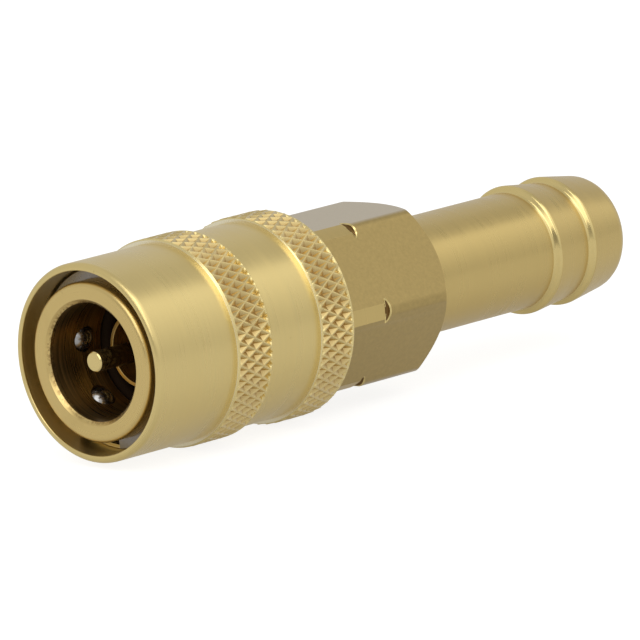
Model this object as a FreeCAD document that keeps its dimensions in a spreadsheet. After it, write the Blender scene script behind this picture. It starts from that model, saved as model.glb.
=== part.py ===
import FreeCAD, Part

import math
import os
import re

import Sketcher

# Pneumatic quick coupling: a ball-lock socket with a sliding sleeve, a shut-off valve and a hose tail.
# Millimetres. The axis runs along +X from the mouth to the tail and +Z is up.
# The origin is on the axis at the front face of the socket body.

# Driving dimensions: name, value, meaning. Stations are measured from the socket body's face.
DIMENSIONS = [
    ("hex_across_flats", 13.0, "hexagon"),
    ("corner_cut", 0.345, "how far the front of the hexagon's corners is turned down"),
    ("bore_radius", 4.63, "plug bore"),
    ("mouth_chamfer", 0.3, "chamfer at the mouth of the plug bore"),
    ("nose_rounding", 0.4, "rounded front edge of the socket body"),
    ("nose_length", 16.9, "socket body from its face to the shoulder on the rear body"),
    ("thread_step", 0.65, "how far the screwed end is below the nose"),
    ("thread_length", 6.7, "length of the screwed end"),
    ("thread_clearance", 0.05, "room around the screwed end"),
    ("chamber_wall", 1.1, "wall of the screwed end, round the valve chamber"),
    ("ring_station", 1.9, "front of the retaining ring's groove"),
    ("ring_thickness", 0.6, "retaining ring along the axis"),
    ("ring_play", 0.025, "room at each side of the retaining ring"),
    ("ring_groove_depth", 0.35, "groove of the retaining ring"),
    ("ring_clearance", 0.12, "room between the retaining ring and the sleeve's rim"),
    ("ring_gap", 34, "opening of the retaining ring, degrees"),
    ("ring_gap_centre", -78.8, "middle of that opening, degrees"),
    ("ball_land", 0.175, "wall between the ring's groove and the ball holes"),
    ("ball_count", 6, "locking balls round the bore"),
    ("ball_reach", 0.45, "how far a ball stands into the bore"),
    ("ball_stand", 0.31, "how far a ball stands out of the nose"),
    ("ball_play", 0.035, "room round a ball"),
    ("ball_lip", 0.17, "lip that keeps a ball in its hole"),
    ("ball_clocking", 8.2, "turn of the ball pattern, degrees"),
    ("seal_land", 0.625, "wall between the ball holes and the plug seal's groove"),
    ("plug_seal_cord", 1.5, "plug seal's cord"),
    ("plug_seal_stand", 0.58, "how far the plug seal stands into the bore"),
    ("plug_seal_room", 0.3, "room along the axis in the plug seal's groove"),
    ("seat_land", 0.7, "wall between the plug seal's groove and the valve seat"),
    ("seat_thickness", 1.1, "web that forms the valve seat"),
    ("rim_lead", 0.3, "how far the sleeve stands past the socket body's face"),
    ("rim_wall", 0.59, "wall of the sleeve at its rim"),
    ("rim_rounding", 0.2, "rounded edges of the rim"),
    ("skirt_wall", 0.51, "wall of the sleeve round its spring"),
    ("skirt_clearance", 0.12, "room between the sleeve's skirt and the turned corners"),
    ("guide_clearance", 0.06, "running fit of the sleeve on the socket body"),
    ("stop_clearance", 0.05, "room between the sleeve's shoulder and the retaining ring"),
    ("ramp_angle", 11.5, "ramp that lets the balls out, degrees"),
    ("spring_shoulder", 8.0, "sleeve's shoulder for its spring, from the rim"),
    ("front_band_station", 8.15, "front knurled band, from the rim"),
    ("front_band_width", 3.85, "front knurled band"),
    ("band_spacing", 5.4, "smooth part between the knurled bands"),
    ("rear_band_width", 3.7, "rear knurled band"),
    ("sleeve_end_land", 0.1, "smooth end of the sleeve"),
    ("knurl_height", 0.44, "how far the ridges of the knurl stand out"),
    ("knurl_depth", 0.36, "pits between the ridges"),
    ("knurl_count", 54, "pits round a band"),
    ("knurl_angle", 30, "ridges against the axis, degrees"),
    ("knurl_chamfer", 0.3, "bevel at the edges of the knurled bands"),
    ("sleeve_wire", 0.9, "wire of the sleeve spring"),
    ("sleeve_spring_room", 0.07, "room across the sleeve spring"),
    ("sleeve_coils", 3, "open coils of the sleeve spring"),
    ("valve_wire", 0.5, "wire of the valve spring"),
    ("valve_coils", 7, "open coils of the valve spring"),
    ("valve_spring_ledge", 0.2, "floor between the flow bore and the valve spring"),
    ("closed_pitch", 1.1, "rise of a spring's closed end coils, in wires"),
    ("hex_length", 16.1, "hexagon along the axis"),
    ("hex_groove_offset", 8.35, "groove in the hexagon's corners, from its front"),
    ("hex_groove_width", 0.45, "that groove along the axis"),
    ("hex_groove_depth", 0.28, "that groove below the turned corners"),
    ("hex_bevel", 1.06, "bevel at the rear of the hexagon, across"),
    ("tail_radius", 4.74, "hose tail"),
    ("tail_bore_radius", 3.0, "flow bore"),
    ("tail_bore_chamfer", 0.2, "chamfer at the end of the flow bore"),
    ("tail_length", 14.95, "plain part of the tail, up to the first bead's crest"),
    ("bead_height", 0.5, "how far the hose beads stand out"),
    ("bead_pitch", 4.05, "from the first crest to the second"),
    ("bead_land", 0.14, "flat of a crest"),
    ("bead_rise", 0.28, "front slope of a bead"),
    ("bead_foot", 0.06, "how far the first bead's taper ends above the tail"),
    ("tail_end_length", 4.56, "tail behind the second crest"),
    ("tail_end_drop", 0.19, "how far that end is tapered below the tail"),
    ("tail_end_rounding", 1.35, "rounded end of the hose tail"),
    ("washer_thickness", 0.8, "body seal along the axis"),
    ("washer_wall", 0.9, "body seal across its ring"),
    ("pin_station", 0.28, "tip of the valve pin"),
    ("pin_radius", 0.8, "valve pin"),
    ("pin_chamfer", 0.12, "bevelled tip of the valve pin"),
    ("crown_length", 3.2, "how far the valve's crown stands in front of its seat"),
    ("crown_radius", 2.95, "outside of the crown"),
    ("crown_wall", 0.33, "wall of the crown"),
    ("crown_clearance", 0.08, "room between the crown and the seat's hole"),
    ("crown_floor", 0.2, "crown's floor in front of the seat's rear face"),
    ("slot_count", 4, "flow slots in the crown"),
    ("slot_width", 1.6, "flow slots across"),
    ("slot_length", 2.6, "flow slots along the axis"),
    ("poppet_seal_cord", 0.9, "poppet seal's cord"),
    ("seat_clearance", 0.03, "room between the poppet seal and its seat"),
    ("head_rim", 0.05, "valve head outside its spring"),
    ("head_thickness", 1.2, "valve head along the axis"),
    ("spigot_length", 1.3, "spigot behind the head that centres the spring"),
    ("spigot_clearance", 0.15, "room between the spigot and the spring"),
]

ALIASES = re.compile(r"\b(" + "|".join(name for name, _, _ in DIMENSIONS) + r")\b")

# Radii, from the hexagon inwards to the nose and outwards to the sleeve
HEX_CORNER = "(hex_across_flats / 2 / cos(30 deg))"
TURNED_RADIUS = f"({HEX_CORNER} - corner_cut)"
SKIRT_RADIUS = f"({TURNED_RADIUS} + skirt_clearance)"
GUIDE_RADIUS = f"({SKIRT_RADIUS} - sleeve_wire - sleeve_spring_room)"
NOSE_RADIUS = f"({GUIDE_RADIUS} - guide_clearance)"
THREAD_RADIUS = f"({NOSE_RADIUS} - thread_step)"
CHAMBER_RADIUS = f"({THREAD_RADIUS} - chamber_wall)"
SLEEVE_RADIUS = f"({SKIRT_RADIUS} + skirt_wall)"
RIM_BORE = f"({SLEEVE_RADIUS} - rim_wall)"
KNURL_RADIUS = f"({SLEEVE_RADIUS} + knurl_height)"
SLEEVE_SPRING_RADIUS = f"(({GUIDE_RADIUS} + {SKIRT_RADIUS}) / 2)"
RING_INSIDE = f"({NOSE_RADIUS} - ring_groove_depth)"
BALL_DIAMETER = f"({NOSE_RADIUS} + ball_stand - bore_radius + ball_reach)"
BALL_CENTRE = f"(bore_radius - ball_reach + {BALL_DIAMETER} / 2)"
BALL_HOLE = f"({BALL_DIAMETER} / 2 + ball_play)"
BALL_OPENING = f"({BALL_DIAMETER} / 2 - ball_lip)"
BALL_FLOOR = f"({BALL_CENTRE} - sqrt({BALL_HOLE}^2 - {BALL_OPENING}^2))"
PLUG_SEAL_RADIUS = "(bore_radius - plug_seal_stand)"
VALVE_SPRING_RADIUS = "(tail_bore_radius + valve_spring_ledge + valve_wire / 2)"
HEAD_RADIUS = f"({VALVE_SPRING_RADIUS} + valve_wire / 2 + head_rim)"
BEAD_RADIUS = "(tail_radius + bead_height)"

# Stations along the axis, from the socket body's face
RING_FRONT = "(ring_station + ring_play)"
RING_END = "(ring_station + ring_thickness + 2 * ring_play)"
BALL_STATION = f"({RING_END} + ball_land + {BALL_HOLE})"
SEAL_GROOVE = f"({BALL_STATION} + {BALL_HOLE} + seal_land)"
SEAL_GROOVE_WIDTH = "(plug_seal_cord + plug_seal_room)"
SEAT_STATION = f"({SEAL_GROOVE} + {SEAL_GROOVE_WIDTH} + seat_land)"
SEAT_END = f"({SEAT_STATION} + seat_thickness)"
CROWN_STATION = f"({SEAT_STATION} - crown_length)"
HEAD_STATION = f"({SEAT_END} + seat_clearance + poppet_seal_cord)"
SOCKET_END = "(nose_length + thread_length)"
FLOOR = f"({SOCKET_END} + washer_thickness)"

# Stations along the sleeve, from its rim
REAR_BAND_STATION = "(front_band_station + front_band_width + band_spacing)"
SLEEVE_END = f"({REAR_BAND_STATION} + rear_band_width + sleeve_end_land)"


def bound(text):
    """An expression whose dimension names point at the sheet."""
    return ALIASES.sub(r"dims.\1", text)


def measure(doc, text):
    """The value of an expression, in millimetres."""
    return float(doc.dims.evalExpression(bound(text)))


def make_sheet(doc):
    """The sheet that holds the driving dimensions."""
    sheet = doc.addObject("Spreadsheet::Sheet", "dims")
    for row, (name, value, meaning) in enumerate(DIMENSIONS, start=1):
        sheet.set(f"A{row}", meaning)
        sheet.set(f"B{row}", str(value))
        sheet.setAlias(f"B{row}", name)
    doc.recompute()
    return sheet


def place(piece, x="0", y="0", z="0", turn="0", axis=(1, 0, 0)):
    """Put a sub-part at a place that follows the sheet, turned about an axis."""
    piece.Placement.Rotation.Axis = FreeCAD.Vector(*axis)
    piece.setExpression("Placement.Rotation.Axis.x", str(axis[0]))
    piece.setExpression("Placement.Rotation.Axis.y", str(axis[1]))
    piece.setExpression("Placement.Rotation.Axis.z", str(axis[2]))
    piece.setExpression("Placement.Rotation.Angle", bound(turn))
    for letter, text in (("x", x), ("y", y), ("z", z)):
        piece.setExpression(f"Placement.Base.{letter}", bound(text))


def new_body(doc, label):
    body = doc.addObject("PartDesign::Body", label)
    body.Label = label
    return body


def origin_feature(body, role):
    return next(part for part in body.Origin.OriginFeatures if part.Role == role)


def new_sketch(body, name, plane):
    sketch = body.newObject("Sketcher::SketchObject", name)
    sketch.AttachmentSupport = [(origin_feature(body, plane), "")]
    sketch.MapMode = "FlatFace"
    return sketch


def lock_point(sketch, geometry, point, x, y):
    """Hold a sketch point at a place that follows the sheet."""
    for kind, axis, text in (("DistanceX", -2, x), ("DistanceY", -1, y)):
        if text == "0":
            sketch.addConstraint(Sketcher.Constraint("PointOnObject", geometry, point, axis))
            continue
        index = sketch.addConstraint(Sketcher.Constraint(kind, -1, 1, geometry, point, 1.0))
        sketch.setExpression(f"Constraints[{index}]", bound(text))


def outline(body, name, corners, plane="XY_Plane"):
    """Sketch of a closed outline; corners maps a name to its place along and off the axis."""
    sketch = new_sketch(body, name, plane)
    count = len(corners)
    turn = 2 * math.pi / count
    start = [FreeCAD.Vector(9 - 8 * math.cos(i * turn), 9 + 8 * math.sin(i * turn), 0) for i in range(count)]
    for i in range(count):
        sketch.addGeometry(Part.LineSegment(start[i], start[(i + 1) % count]), False)
    for i in range(count):
        sketch.addConstraint(Sketcher.Constraint("Coincident", i, 2, (i + 1) % count, 1))
    for i, (x, y) in enumerate(corners.values()):
        lock_point(sketch, i, 1, x, y)
    return sketch


def turn_about_axis(body, kind, sketch, angle="360 deg"):
    """Revolve a sketch about the coupling's axis, to add (Revolution) or to cut (Groove)."""
    feature = body.newObject(f"PartDesign::{kind}", f"{sketch.Name}_turned")
    feature.Profile = sketch
    feature.ReferenceAxis = (sketch, ["H_Axis"])
    feature.setExpression("Angle", bound(angle))
    body.Document.recompute()
    return feature


def round_edges(body, feature, sketch, corners, names, radius):
    """Round the circular edges that the named corners of an outline were turned into."""
    order = list(corners)
    places = [sketch.getPoint(order.index(name), 1) for name in names]
    edges = []
    for index, edge in enumerate(feature.Shape.Edges, start=1):
        if not isinstance(edge.Curve, Part.Circle):
            continue
        for place_on in places:
            off = abs(edge.Curve.Center.x - place_on.x) + abs(edge.Curve.Radius - place_on.y)
            if off < 1e-4:
                edges.append(f"Edge{index}")
    fillet = body.newObject("PartDesign::Fillet", f"{sketch.Name}_rounded")
    fillet.Base = (feature, edges)
    fillet.setExpression("Radius", bound(radius))
    body.Document.recompute()
    return fillet


def repeat_round_axis(body, feature, count):
    """Repeat a cut round the coupling's axis."""
    pattern = body.newObject("PartDesign::PolarPattern", f"{feature.Name}_repeated")
    pattern.Originals = [feature]
    pattern.Axis = (origin_feature(body, "X_Axis"), [""])
    pattern.Angle = 360
    pattern.setExpression("Occurrences", bound(count))
    body.Tip = pattern
    body.Document.recompute()
    return pattern


def make_socket_body(doc):
    """Nose with the plug bore, the seal and ring grooves, the valve seat and the ball holes."""
    body = new_body(doc, "socket_body")
    seal_groove_end = f"{SEAL_GROOVE} + {SEAL_GROOVE_WIDTH}"
    seal_groove_floor = f"{PLUG_SEAL_RADIUS} + plug_seal_cord"
    corners = {
        "face_inside": ("0", "bore_radius + mouth_chamfer"),
        "face_outside": ("0", NOSE_RADIUS),
        "ring_groove_front": ("ring_station", NOSE_RADIUS),
        "ring_groove_front_floor": ("ring_station", RING_INSIDE),
        "ring_groove_rear_floor": (RING_END, RING_INSIDE),
        "ring_groove_rear": (RING_END, NOSE_RADIUS),
        "shoulder_outside": ("nose_length", NOSE_RADIUS),
        "shoulder_inside": ("nose_length", THREAD_RADIUS),
        "end_outside": (SOCKET_END, THREAD_RADIUS),
        "end_inside": (SOCKET_END, CHAMBER_RADIUS),
        "chamber_front": (SEAT_END, CHAMBER_RADIUS),
        "seat_rear": (SEAT_END, "crown_radius + crown_clearance"),
        "seat_front": (SEAT_STATION, "crown_radius + crown_clearance"),
        "bore_end": (SEAT_STATION, "bore_radius"),
        "seal_groove_rear": (seal_groove_end, "bore_radius"),
        "seal_groove_rear_floor": (seal_groove_end, seal_groove_floor),
        "seal_groove_front_floor": (SEAL_GROOVE, seal_groove_floor),
        "seal_groove_front": (SEAL_GROOVE, "bore_radius"),
        "mouth": ("mouth_chamfer", "bore_radius"),
    }
    sketch = outline(body, "socket_outline", corners)
    turned = turn_about_axis(body, "Revolution", sketch)
    round_edges(body, turned, sketch, corners, ["face_outside"], "nose_rounding")

    # A stepped hole with a narrow lip at the bore, repeated for each ball
    outside = f"{NOSE_RADIUS} + {BALL_DIAMETER}"
    hole = {
        "inner_middle": (BALL_STATION, "bore_radius / 2"),
        "inner_edge": (f"{BALL_STATION} + {BALL_OPENING}", "bore_radius / 2"),
        "lip": (f"{BALL_STATION} + {BALL_OPENING}", BALL_FLOOR),
        "floor_edge": (f"{BALL_STATION} + {BALL_HOLE}", BALL_FLOOR),
        "outer_edge": (f"{BALL_STATION} + {BALL_HOLE}", outside),
        "outer_middle": (BALL_STATION, outside),
    }
    hole_sketch = outline(body, "ball_hole", hole)
    axis_start = FreeCAD.Vector(4, 2, 0)
    axis_end = FreeCAD.Vector(4, 9, 0)
    axis = hole_sketch.addGeometry(Part.LineSegment(axis_start, axis_end), True)
    lock_point(hole_sketch, axis, 1, *hole["inner_middle"])
    lock_point(hole_sketch, axis, 2, *hole["outer_middle"])
    cut = body.newObject("PartDesign::Groove", "ball_hole_cut")
    cut.Profile = hole_sketch
    cut.ReferenceAxis = (hole_sketch, ["Axis0"])
    cut.Angle = 360
    doc.recompute()
    repeat_round_axis(body, cut, "ball_count")
    place(body, turn="ball_clocking")
    return body


def make_retaining_ring(doc):
    """Split ring that stops the sleeve at the front."""
    body = new_body(doc, "retaining_ring")
    inside = f"{RING_INSIDE} + ring_play"
    outside = f"{RIM_BORE} - ring_clearance"
    corners = {
        "front_inside": ("0", inside),
        "front_outside": ("0", outside),
        "rear_outside": ("ring_thickness", outside),
        "rear_inside": ("ring_thickness", inside),
    }
    sketch = outline(body, "ring_section", corners)
    turn_about_axis(body, "Revolution", sketch, "360 deg - ring_gap * 1 deg")
    place(body, x=RING_FRONT, turn="ring_gap_centre + ring_gap / 2")
    return body


def make_turned_sleeve(doc):
    """Sleeve as turned; inside are the rim bore, the ball ramp, the guide and the skirt."""
    body = new_body(doc, "turned_sleeve")
    ball = f"({BALL_STATION} + rim_lead)"
    shoulder = f"({RING_END} + stop_clearance + rim_lead)"
    ramp_at_ball = f"({BALL_CENTRE} + {BALL_HOLE} / cos(ramp_angle * 1 deg))"
    ramp_slope = "tan(ramp_angle * 1 deg)"
    corners = {
        "rim_inside": ("0", RIM_BORE),
        "rim_outside": ("0", SLEEVE_RADIUS),
        "end_outside": (SLEEVE_END, SLEEVE_RADIUS),
        "end_inside": (SLEEVE_END, SKIRT_RADIUS),
        "spring_shoulder_outside": ("spring_shoulder", SKIRT_RADIUS),
        "spring_shoulder_inside": ("spring_shoulder", GUIDE_RADIUS),
        "guide_front": (f"{ball} + ({ramp_at_ball} - {GUIDE_RADIUS}) / {ramp_slope}", GUIDE_RADIUS),
        "ramp_front": (shoulder, f"{ramp_at_ball} + ({ball} - {shoulder}) * {ramp_slope}"),
        "shoulder_outside": (shoulder, RIM_BORE),
    }
    sketch = outline(body, "sleeve_outline", corners)
    turned = turn_about_axis(body, "Revolution", sketch)
    round_edges(body, turned, sketch, corners, ["rim_inside", "rim_outside"], "rim_rounding")
    return body


def make_band(doc, name, station, width):
    """Collar with bevelled edges that a knurled band is cut from; it is rooted in the sleeve's wall."""
    body = new_body(doc, f"{name}_collar")
    slope = "(knurl_chamfer / knurl_height)"
    top = f"({KNURL_RADIUS} + knurl_height)"
    foot = f"({SLEEVE_RADIUS} - sleeve_end_land / 2 / {slope})"
    root = f"({SLEEVE_RADIUS} - skirt_wall / 2)"
    rise = f"{slope} * ({top} - {SLEEVE_RADIUS})"
    front = f"({station} - sleeve_end_land / 2)"
    rear = f"({station} + {width} + sleeve_end_land / 2)"
    corners = {
        "front_root": (front, root),
        "front_foot": (front, foot),
        "front_top": (f"{station} + {rise}", top),
        "rear_top": (f"{station} + {width} - {rise}", top),
        "rear_foot": (rear, foot),
        "rear_root": (rear, root),
    }
    turn_about_axis(body, "Revolution", outline(body, f"{name}_section", corners))
    return body


def knurled_bar(doc, name, station, width):
    """Bar covered with crossing ridges; between them lie diamond pits, half a pitch from the crossings."""
    size = doc.dims
    pits = int(size.get("knurl_count"))
    crest = measure(doc, KNURL_RADIUS)
    valley = crest - size.get("knurl_depth")
    step = math.pi * crest / pits / math.tan(math.radians(size.get("knurl_angle")))
    middle = measure(doc, f"{station} + {width} / 2")
    half_rows = math.ceil(measure(doc, f"{width} / 2 + sleeve_end_land") / step)

    def corner(row, column):
        radius = valley if (row + column) % 2 else crest
        angle = math.pi * column / pits
        return FreeCAD.Vector(middle + row * step, radius * math.cos(angle), radius * math.sin(angle))

    def facet(*corners):
        return Part.Face(Part.makePolygon([*corners, corners[0]]))

    columns = range(2 * pits)
    faces = [facet(*(corner(row, column) for column in columns)) for row in (-half_rows, half_rows)]
    for row in range(-half_rows, half_rows):
        for column in columns:
            near, far = corner(row, column), corner(row + 1, column + 1)
            left, right = corner(row + 1, column), corner(row, column + 1)
            if (row + column) % 2:
                faces += [facet(left, right, near), facet(right, left, far)]
            else:
                faces += [facet(near, far, left), facet(far, near, right)]
    shell = Part.Shell(faces)
    solid = Part.Solid(shell)
    if solid.Volume < 0:
        solid.reverse()
    bar = doc.addObject("Part::Feature", f"{name}_ridges")
    bar.Shape = solid
    return bar


def make_locking_sleeve(doc):
    """Sleeve with two knurled bands."""
    pieces = [make_turned_sleeve(doc)]
    bands = {
        "front_band": ("front_band_station", "front_band_width"),
        "rear_band": (REAR_BAND_STATION, "rear_band_width"),
    }
    for name, (station, width) in bands.items():
        band = doc.addObject("Part::Common", name)
        band.Base = make_band(doc, name, station, width)
        band.Tool = knurled_bar(doc, name, station, width)
        band.Refine = False
        pieces.append(band)
    sleeve = doc.addObject("Part::MultiFuse", "locking_sleeve")
    sleeve.Label = "locking_sleeve"
    sleeve.Shapes = pieces
    sleeve.Refine = False
    place(sleeve, x="-rim_lead")
    return sleeve


def make_spring(doc, label, wire, radius, coils, length, station):
    """Coil spring made of half turns; the end coils are closed and lie flat on their seats."""
    closed = f"({wire} * closed_pitch)"
    open_half = f"(({length} - {wire} - 2 * {closed}) / {coils} / 2)"
    open_halves = 2 * int(doc.dims.get(coils))
    start = f"({wire} / 2)"
    halves = []
    for i, rise in enumerate(["0", closed] + [open_half] * open_halves + [closed, "0"]):
        half = doc.addObject("Part::Torus", f"{label}_half_{i + 1}")
        half.setExpression("Radius1", bound(f"sqrt({radius}^2 + ({rise} / 2)^2)"))
        half.setExpression("Radius2", bound(f"{wire} / 2"))
        half.Angle3 = 180
        middle = f"vector({start} + {rise} / 2; 0; 0)"
        side = f"rotation(vector(1; 0; 0); {180 * (i % 2)})"
        tilt = f"rotation(vector(0; 0; 1); atan({rise} / 2 / {radius}))"
        upright = "rotation(vector(1; 1; 1); 120)"
        half.setExpression("Placement", bound(f"placement({middle}; {side} * {tilt} * {upright})"))
        start = f"({start} + {rise})"
        halves.append(half)
    spring = doc.addObject("Part::MultiFuse", label)
    spring.Label = label
    spring.Shapes = halves
    place(spring, x=station)
    return spring


def make_o_ring(doc, label, cord, inside, station):
    """O-ring round the axis, its section centred at a station."""
    ring = doc.addObject("Part::Torus", label)
    ring.Label = label
    ring.setExpression("Radius1", bound(f"{inside} + {cord} / 2"))
    ring.setExpression("Radius2", bound(f"{cord} / 2"))
    place(ring, x=station, turn="90", axis=(0, 1, 0))
    return ring


def make_balls(doc, count):
    """Steel balls in the holes of the socket body."""
    balls = []
    for i in range(count):
        label = f"lock_ball_{i + 1}"
        ball = doc.addObject("Part::Sphere", label)
        ball.Label = label
        ball.setExpression("Radius", bound(f"{BALL_DIAMETER} / 2"))
        angle = f"((ball_clocking + {i} * 360 / ball_count) * 1 deg)"
        place(ball, BALL_STATION, f"{BALL_CENTRE} * cos{angle}", f"{BALL_CENTRE} * sin{angle}")
        balls.append(ball)
    return balls


def make_valve_poppet(doc):
    """Valve turned in one piece: pin, slotted crown, head and spring spigot."""
    body = new_body(doc, "valve_poppet")
    crown_inside = "crown_radius - crown_wall"
    crown_base = f"({SEAT_END} - crown_floor - pin_station)"
    crown_front = f"({CROWN_STATION} - pin_station)"
    head_front = f"({HEAD_STATION} - pin_station)"
    head_rear = f"({head_front} + head_thickness)"
    spigot = f"{VALVE_SPRING_RADIUS} - valve_wire / 2 - spigot_clearance"
    corners = {
        "tip_middle": ("0", "0"),
        "tip_edge": ("0", "pin_radius - pin_chamfer"),
        "pin_front": ("pin_chamfer", "pin_radius"),
        "pin_root": (crown_base, "pin_radius"),
        "crown_root": (crown_base, crown_inside),
        "crown_front_inside": (crown_front, crown_inside),
        "crown_front_outside": (crown_front, "crown_radius"),
        "head_root": (head_front, "crown_radius"),
        "head_front": (head_front, HEAD_RADIUS),
        "head_rear": (head_rear, HEAD_RADIUS),
        "spigot_root": (head_rear, spigot),
        "spigot_end": (f"{head_rear} + spigot_length", spigot),
        "end_middle": (f"{head_rear} + spigot_length", "0"),
    }
    turn_about_axis(body, "Revolution", outline(body, "poppet_outline", corners))

    slot = {
        "front_low": (f"{crown_base} - slot_length", "0"),
        "rear_low": (crown_base, "0"),
        "rear_high": (crown_base, "slot_width"),
        "front_high": (f"{crown_base} - slot_length", "slot_width"),
    }
    sketch = outline(body, "slot_outline", slot)
    sketch.setExpression("AttachmentOffset.Base.y", bound("-slot_width / 2"))
    sketch.setExpression("AttachmentOffset.Base.z", bound("(pin_radius + crown_radius - crown_wall) / 2"))
    cut = body.newObject("PartDesign::Pocket", "slot_cut")
    cut.Profile = sketch
    cut.Reversed = True
    cut.setExpression("Length", bound("crown_radius"))
    doc.recompute()
    repeat_round_axis(body, cut, "slot_count")
    place(body, x="pin_station")
    return body


def make_body_seal(doc):
    """Flat washer between the end of the socket body and the floor of the rear body."""
    body = new_body(doc, "body_seal")
    inside = f"{THREAD_RADIUS} - washer_wall"
    corners = {
        "front_inside": ("0", inside),
        "front_outside": ("0", THREAD_RADIUS),
        "rear_outside": ("washer_thickness", THREAD_RADIUS),
        "rear_inside": ("washer_thickness", inside),
    }
    turn_about_axis(body, "Revolution", outline(body, "washer_section", corners))
    place(body, x=SOCKET_END)
    return body


def hexagon(body, name, radius, start_radius):
    """Sketch of a regular hexagon round the axis, with two corners level with it."""
    sketch = new_sketch(body, name, "YZ_Plane")
    points = [
        FreeCAD.Vector(start_radius * math.cos(math.radians(60 * i)),
                       start_radius * math.sin(math.radians(60 * i)), 0)
        for i in range(6)
    ]
    for i in range(6):
        sketch.addGeometry(Part.LineSegment(points[i], points[(i + 1) % 6]), False)
    circle = Part.Circle(FreeCAD.Vector(0, 0, 0), FreeCAD.Vector(0, 0, 1), start_radius)
    ring = sketch.addGeometry(circle, True)
    sketch.addConstraint(Sketcher.Constraint("Coincident", ring, 3, -1, 1))
    for i in range(6):
        sketch.addConstraint(Sketcher.Constraint("Coincident", i, 2, (i + 1) % 6, 1))
        sketch.addConstraint(Sketcher.Constraint("PointOnObject", i, 1, ring))
    for i in range(1, 6):
        sketch.addConstraint(Sketcher.Constraint("Equal", 0, i))
    sketch.addConstraint(Sketcher.Constraint("PointOnObject", 0, 1, -1))
    index = sketch.addConstraint(Sketcher.Constraint("Radius", ring, start_radius))
    sketch.setExpression(f"Constraints[{index}]", bound(radius))
    return sketch


def make_rear_body(doc, sheet):
    """Hexagon and hose tail turned from one bar, with a screwed socket in front and a flow bore."""
    body = new_body(doc, "rear_body")
    start_radius = sheet.get("hex_across_flats") / 2 / math.cos(math.radians(30))
    bar = body.newObject("PartDesign::Pad", "hexagon_bar")
    bar.Profile = hexagon(body, "hexagon_outline", HEX_CORNER, start_radius)
    bar.setExpression("Length", bound("hex_length"))
    doc.recompute()

    # Corners turned down in front, a groove behind them and a bevel at the rear
    outside = f"{HEX_CORNER} + hex_groove_depth"
    turned = {
        "front": ("0", TURNED_RADIUS),
        "groove_front": ("hex_groove_offset", TURNED_RADIUS),
        "groove_floor": ("hex_groove_offset + hex_groove_width / 2", f"{TURNED_RADIUS} - hex_groove_depth"),
        "groove_rear": ("hex_groove_offset + hex_groove_width", HEX_CORNER),
        "bevel_start": ("hex_length - hex_bevel", HEX_CORNER),
        "bevel_end": ("hex_length", f"{HEX_CORNER} - hex_bevel"),
        "rear_outside": ("hex_length", outside),
        "front_outside": ("0", outside),
    }
    turn_about_axis(body, "Groove", outline(body, "corner_turning", turned))

    first = "(hex_length + tail_length)"
    second = f"({first} + bead_pitch)"
    end = f"({second} + bead_land + tail_end_length)"
    tail = {
        "root_middle": ("hex_length / 2", "0"),
        "root": ("hex_length / 2", "tail_radius"),
        "first_foot": (f"{first} - bead_rise", "tail_radius"),
        "first_crest": (first, BEAD_RADIUS),
        "first_crest_end": (f"{first} + bead_land", BEAD_RADIUS),
        "second_foot": (f"{second} - bead_rise", "tail_radius + bead_foot"),
        "second_crest": (second, BEAD_RADIUS),
        "second_crest_end": (f"{second} + bead_land", BEAD_RADIUS),
        "end_corner": (end, "tail_radius - tail_end_drop"),
        "end_middle": (end, "0"),
    }
    tail_sketch = outline(body, "tail_outline", tail)
    tail_turned = turn_about_axis(body, "Revolution", tail_sketch)
    round_edges(body, tail_turned, tail_sketch, tail, ["end_corner"], "tail_end_rounding")

    floor = f"({FLOOR} - nose_length)"
    socket_radius = f"{THREAD_RADIUS} + thread_clearance"
    inside = {
        "front_middle": ("0", "0"),
        "front": ("0", socket_radius),
        "floor": (floor, socket_radius),
        "bore_start": (floor, "tail_bore_radius"),
        "bore_end": (f"{end} - tail_bore_chamfer", "tail_bore_radius"),
        "bore_mouth": (end, "tail_bore_radius + tail_bore_chamfer"),
        "end_middle": (end, "0"),
    }
    turn_about_axis(body, "Groove", outline(body, "flow_passage", inside))
    place(body, x="nose_length")
    return body


def check_document(doc, pieces):
    """Stop if any feature failed or any sub-part is not one sound solid."""
    for item in doc.Objects:
        if "Invalid" in item.State or "Error" in item.State:
            raise RuntimeError(f"{item.Label} failed: {item.State}")
    for piece in pieces:
        shape = piece.Shape
        if shape.isNull() or not shape.isValid() or len(shape.Solids) != 1:
            raise RuntimeError(f"{piece.Label} is not one sound solid")


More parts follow.
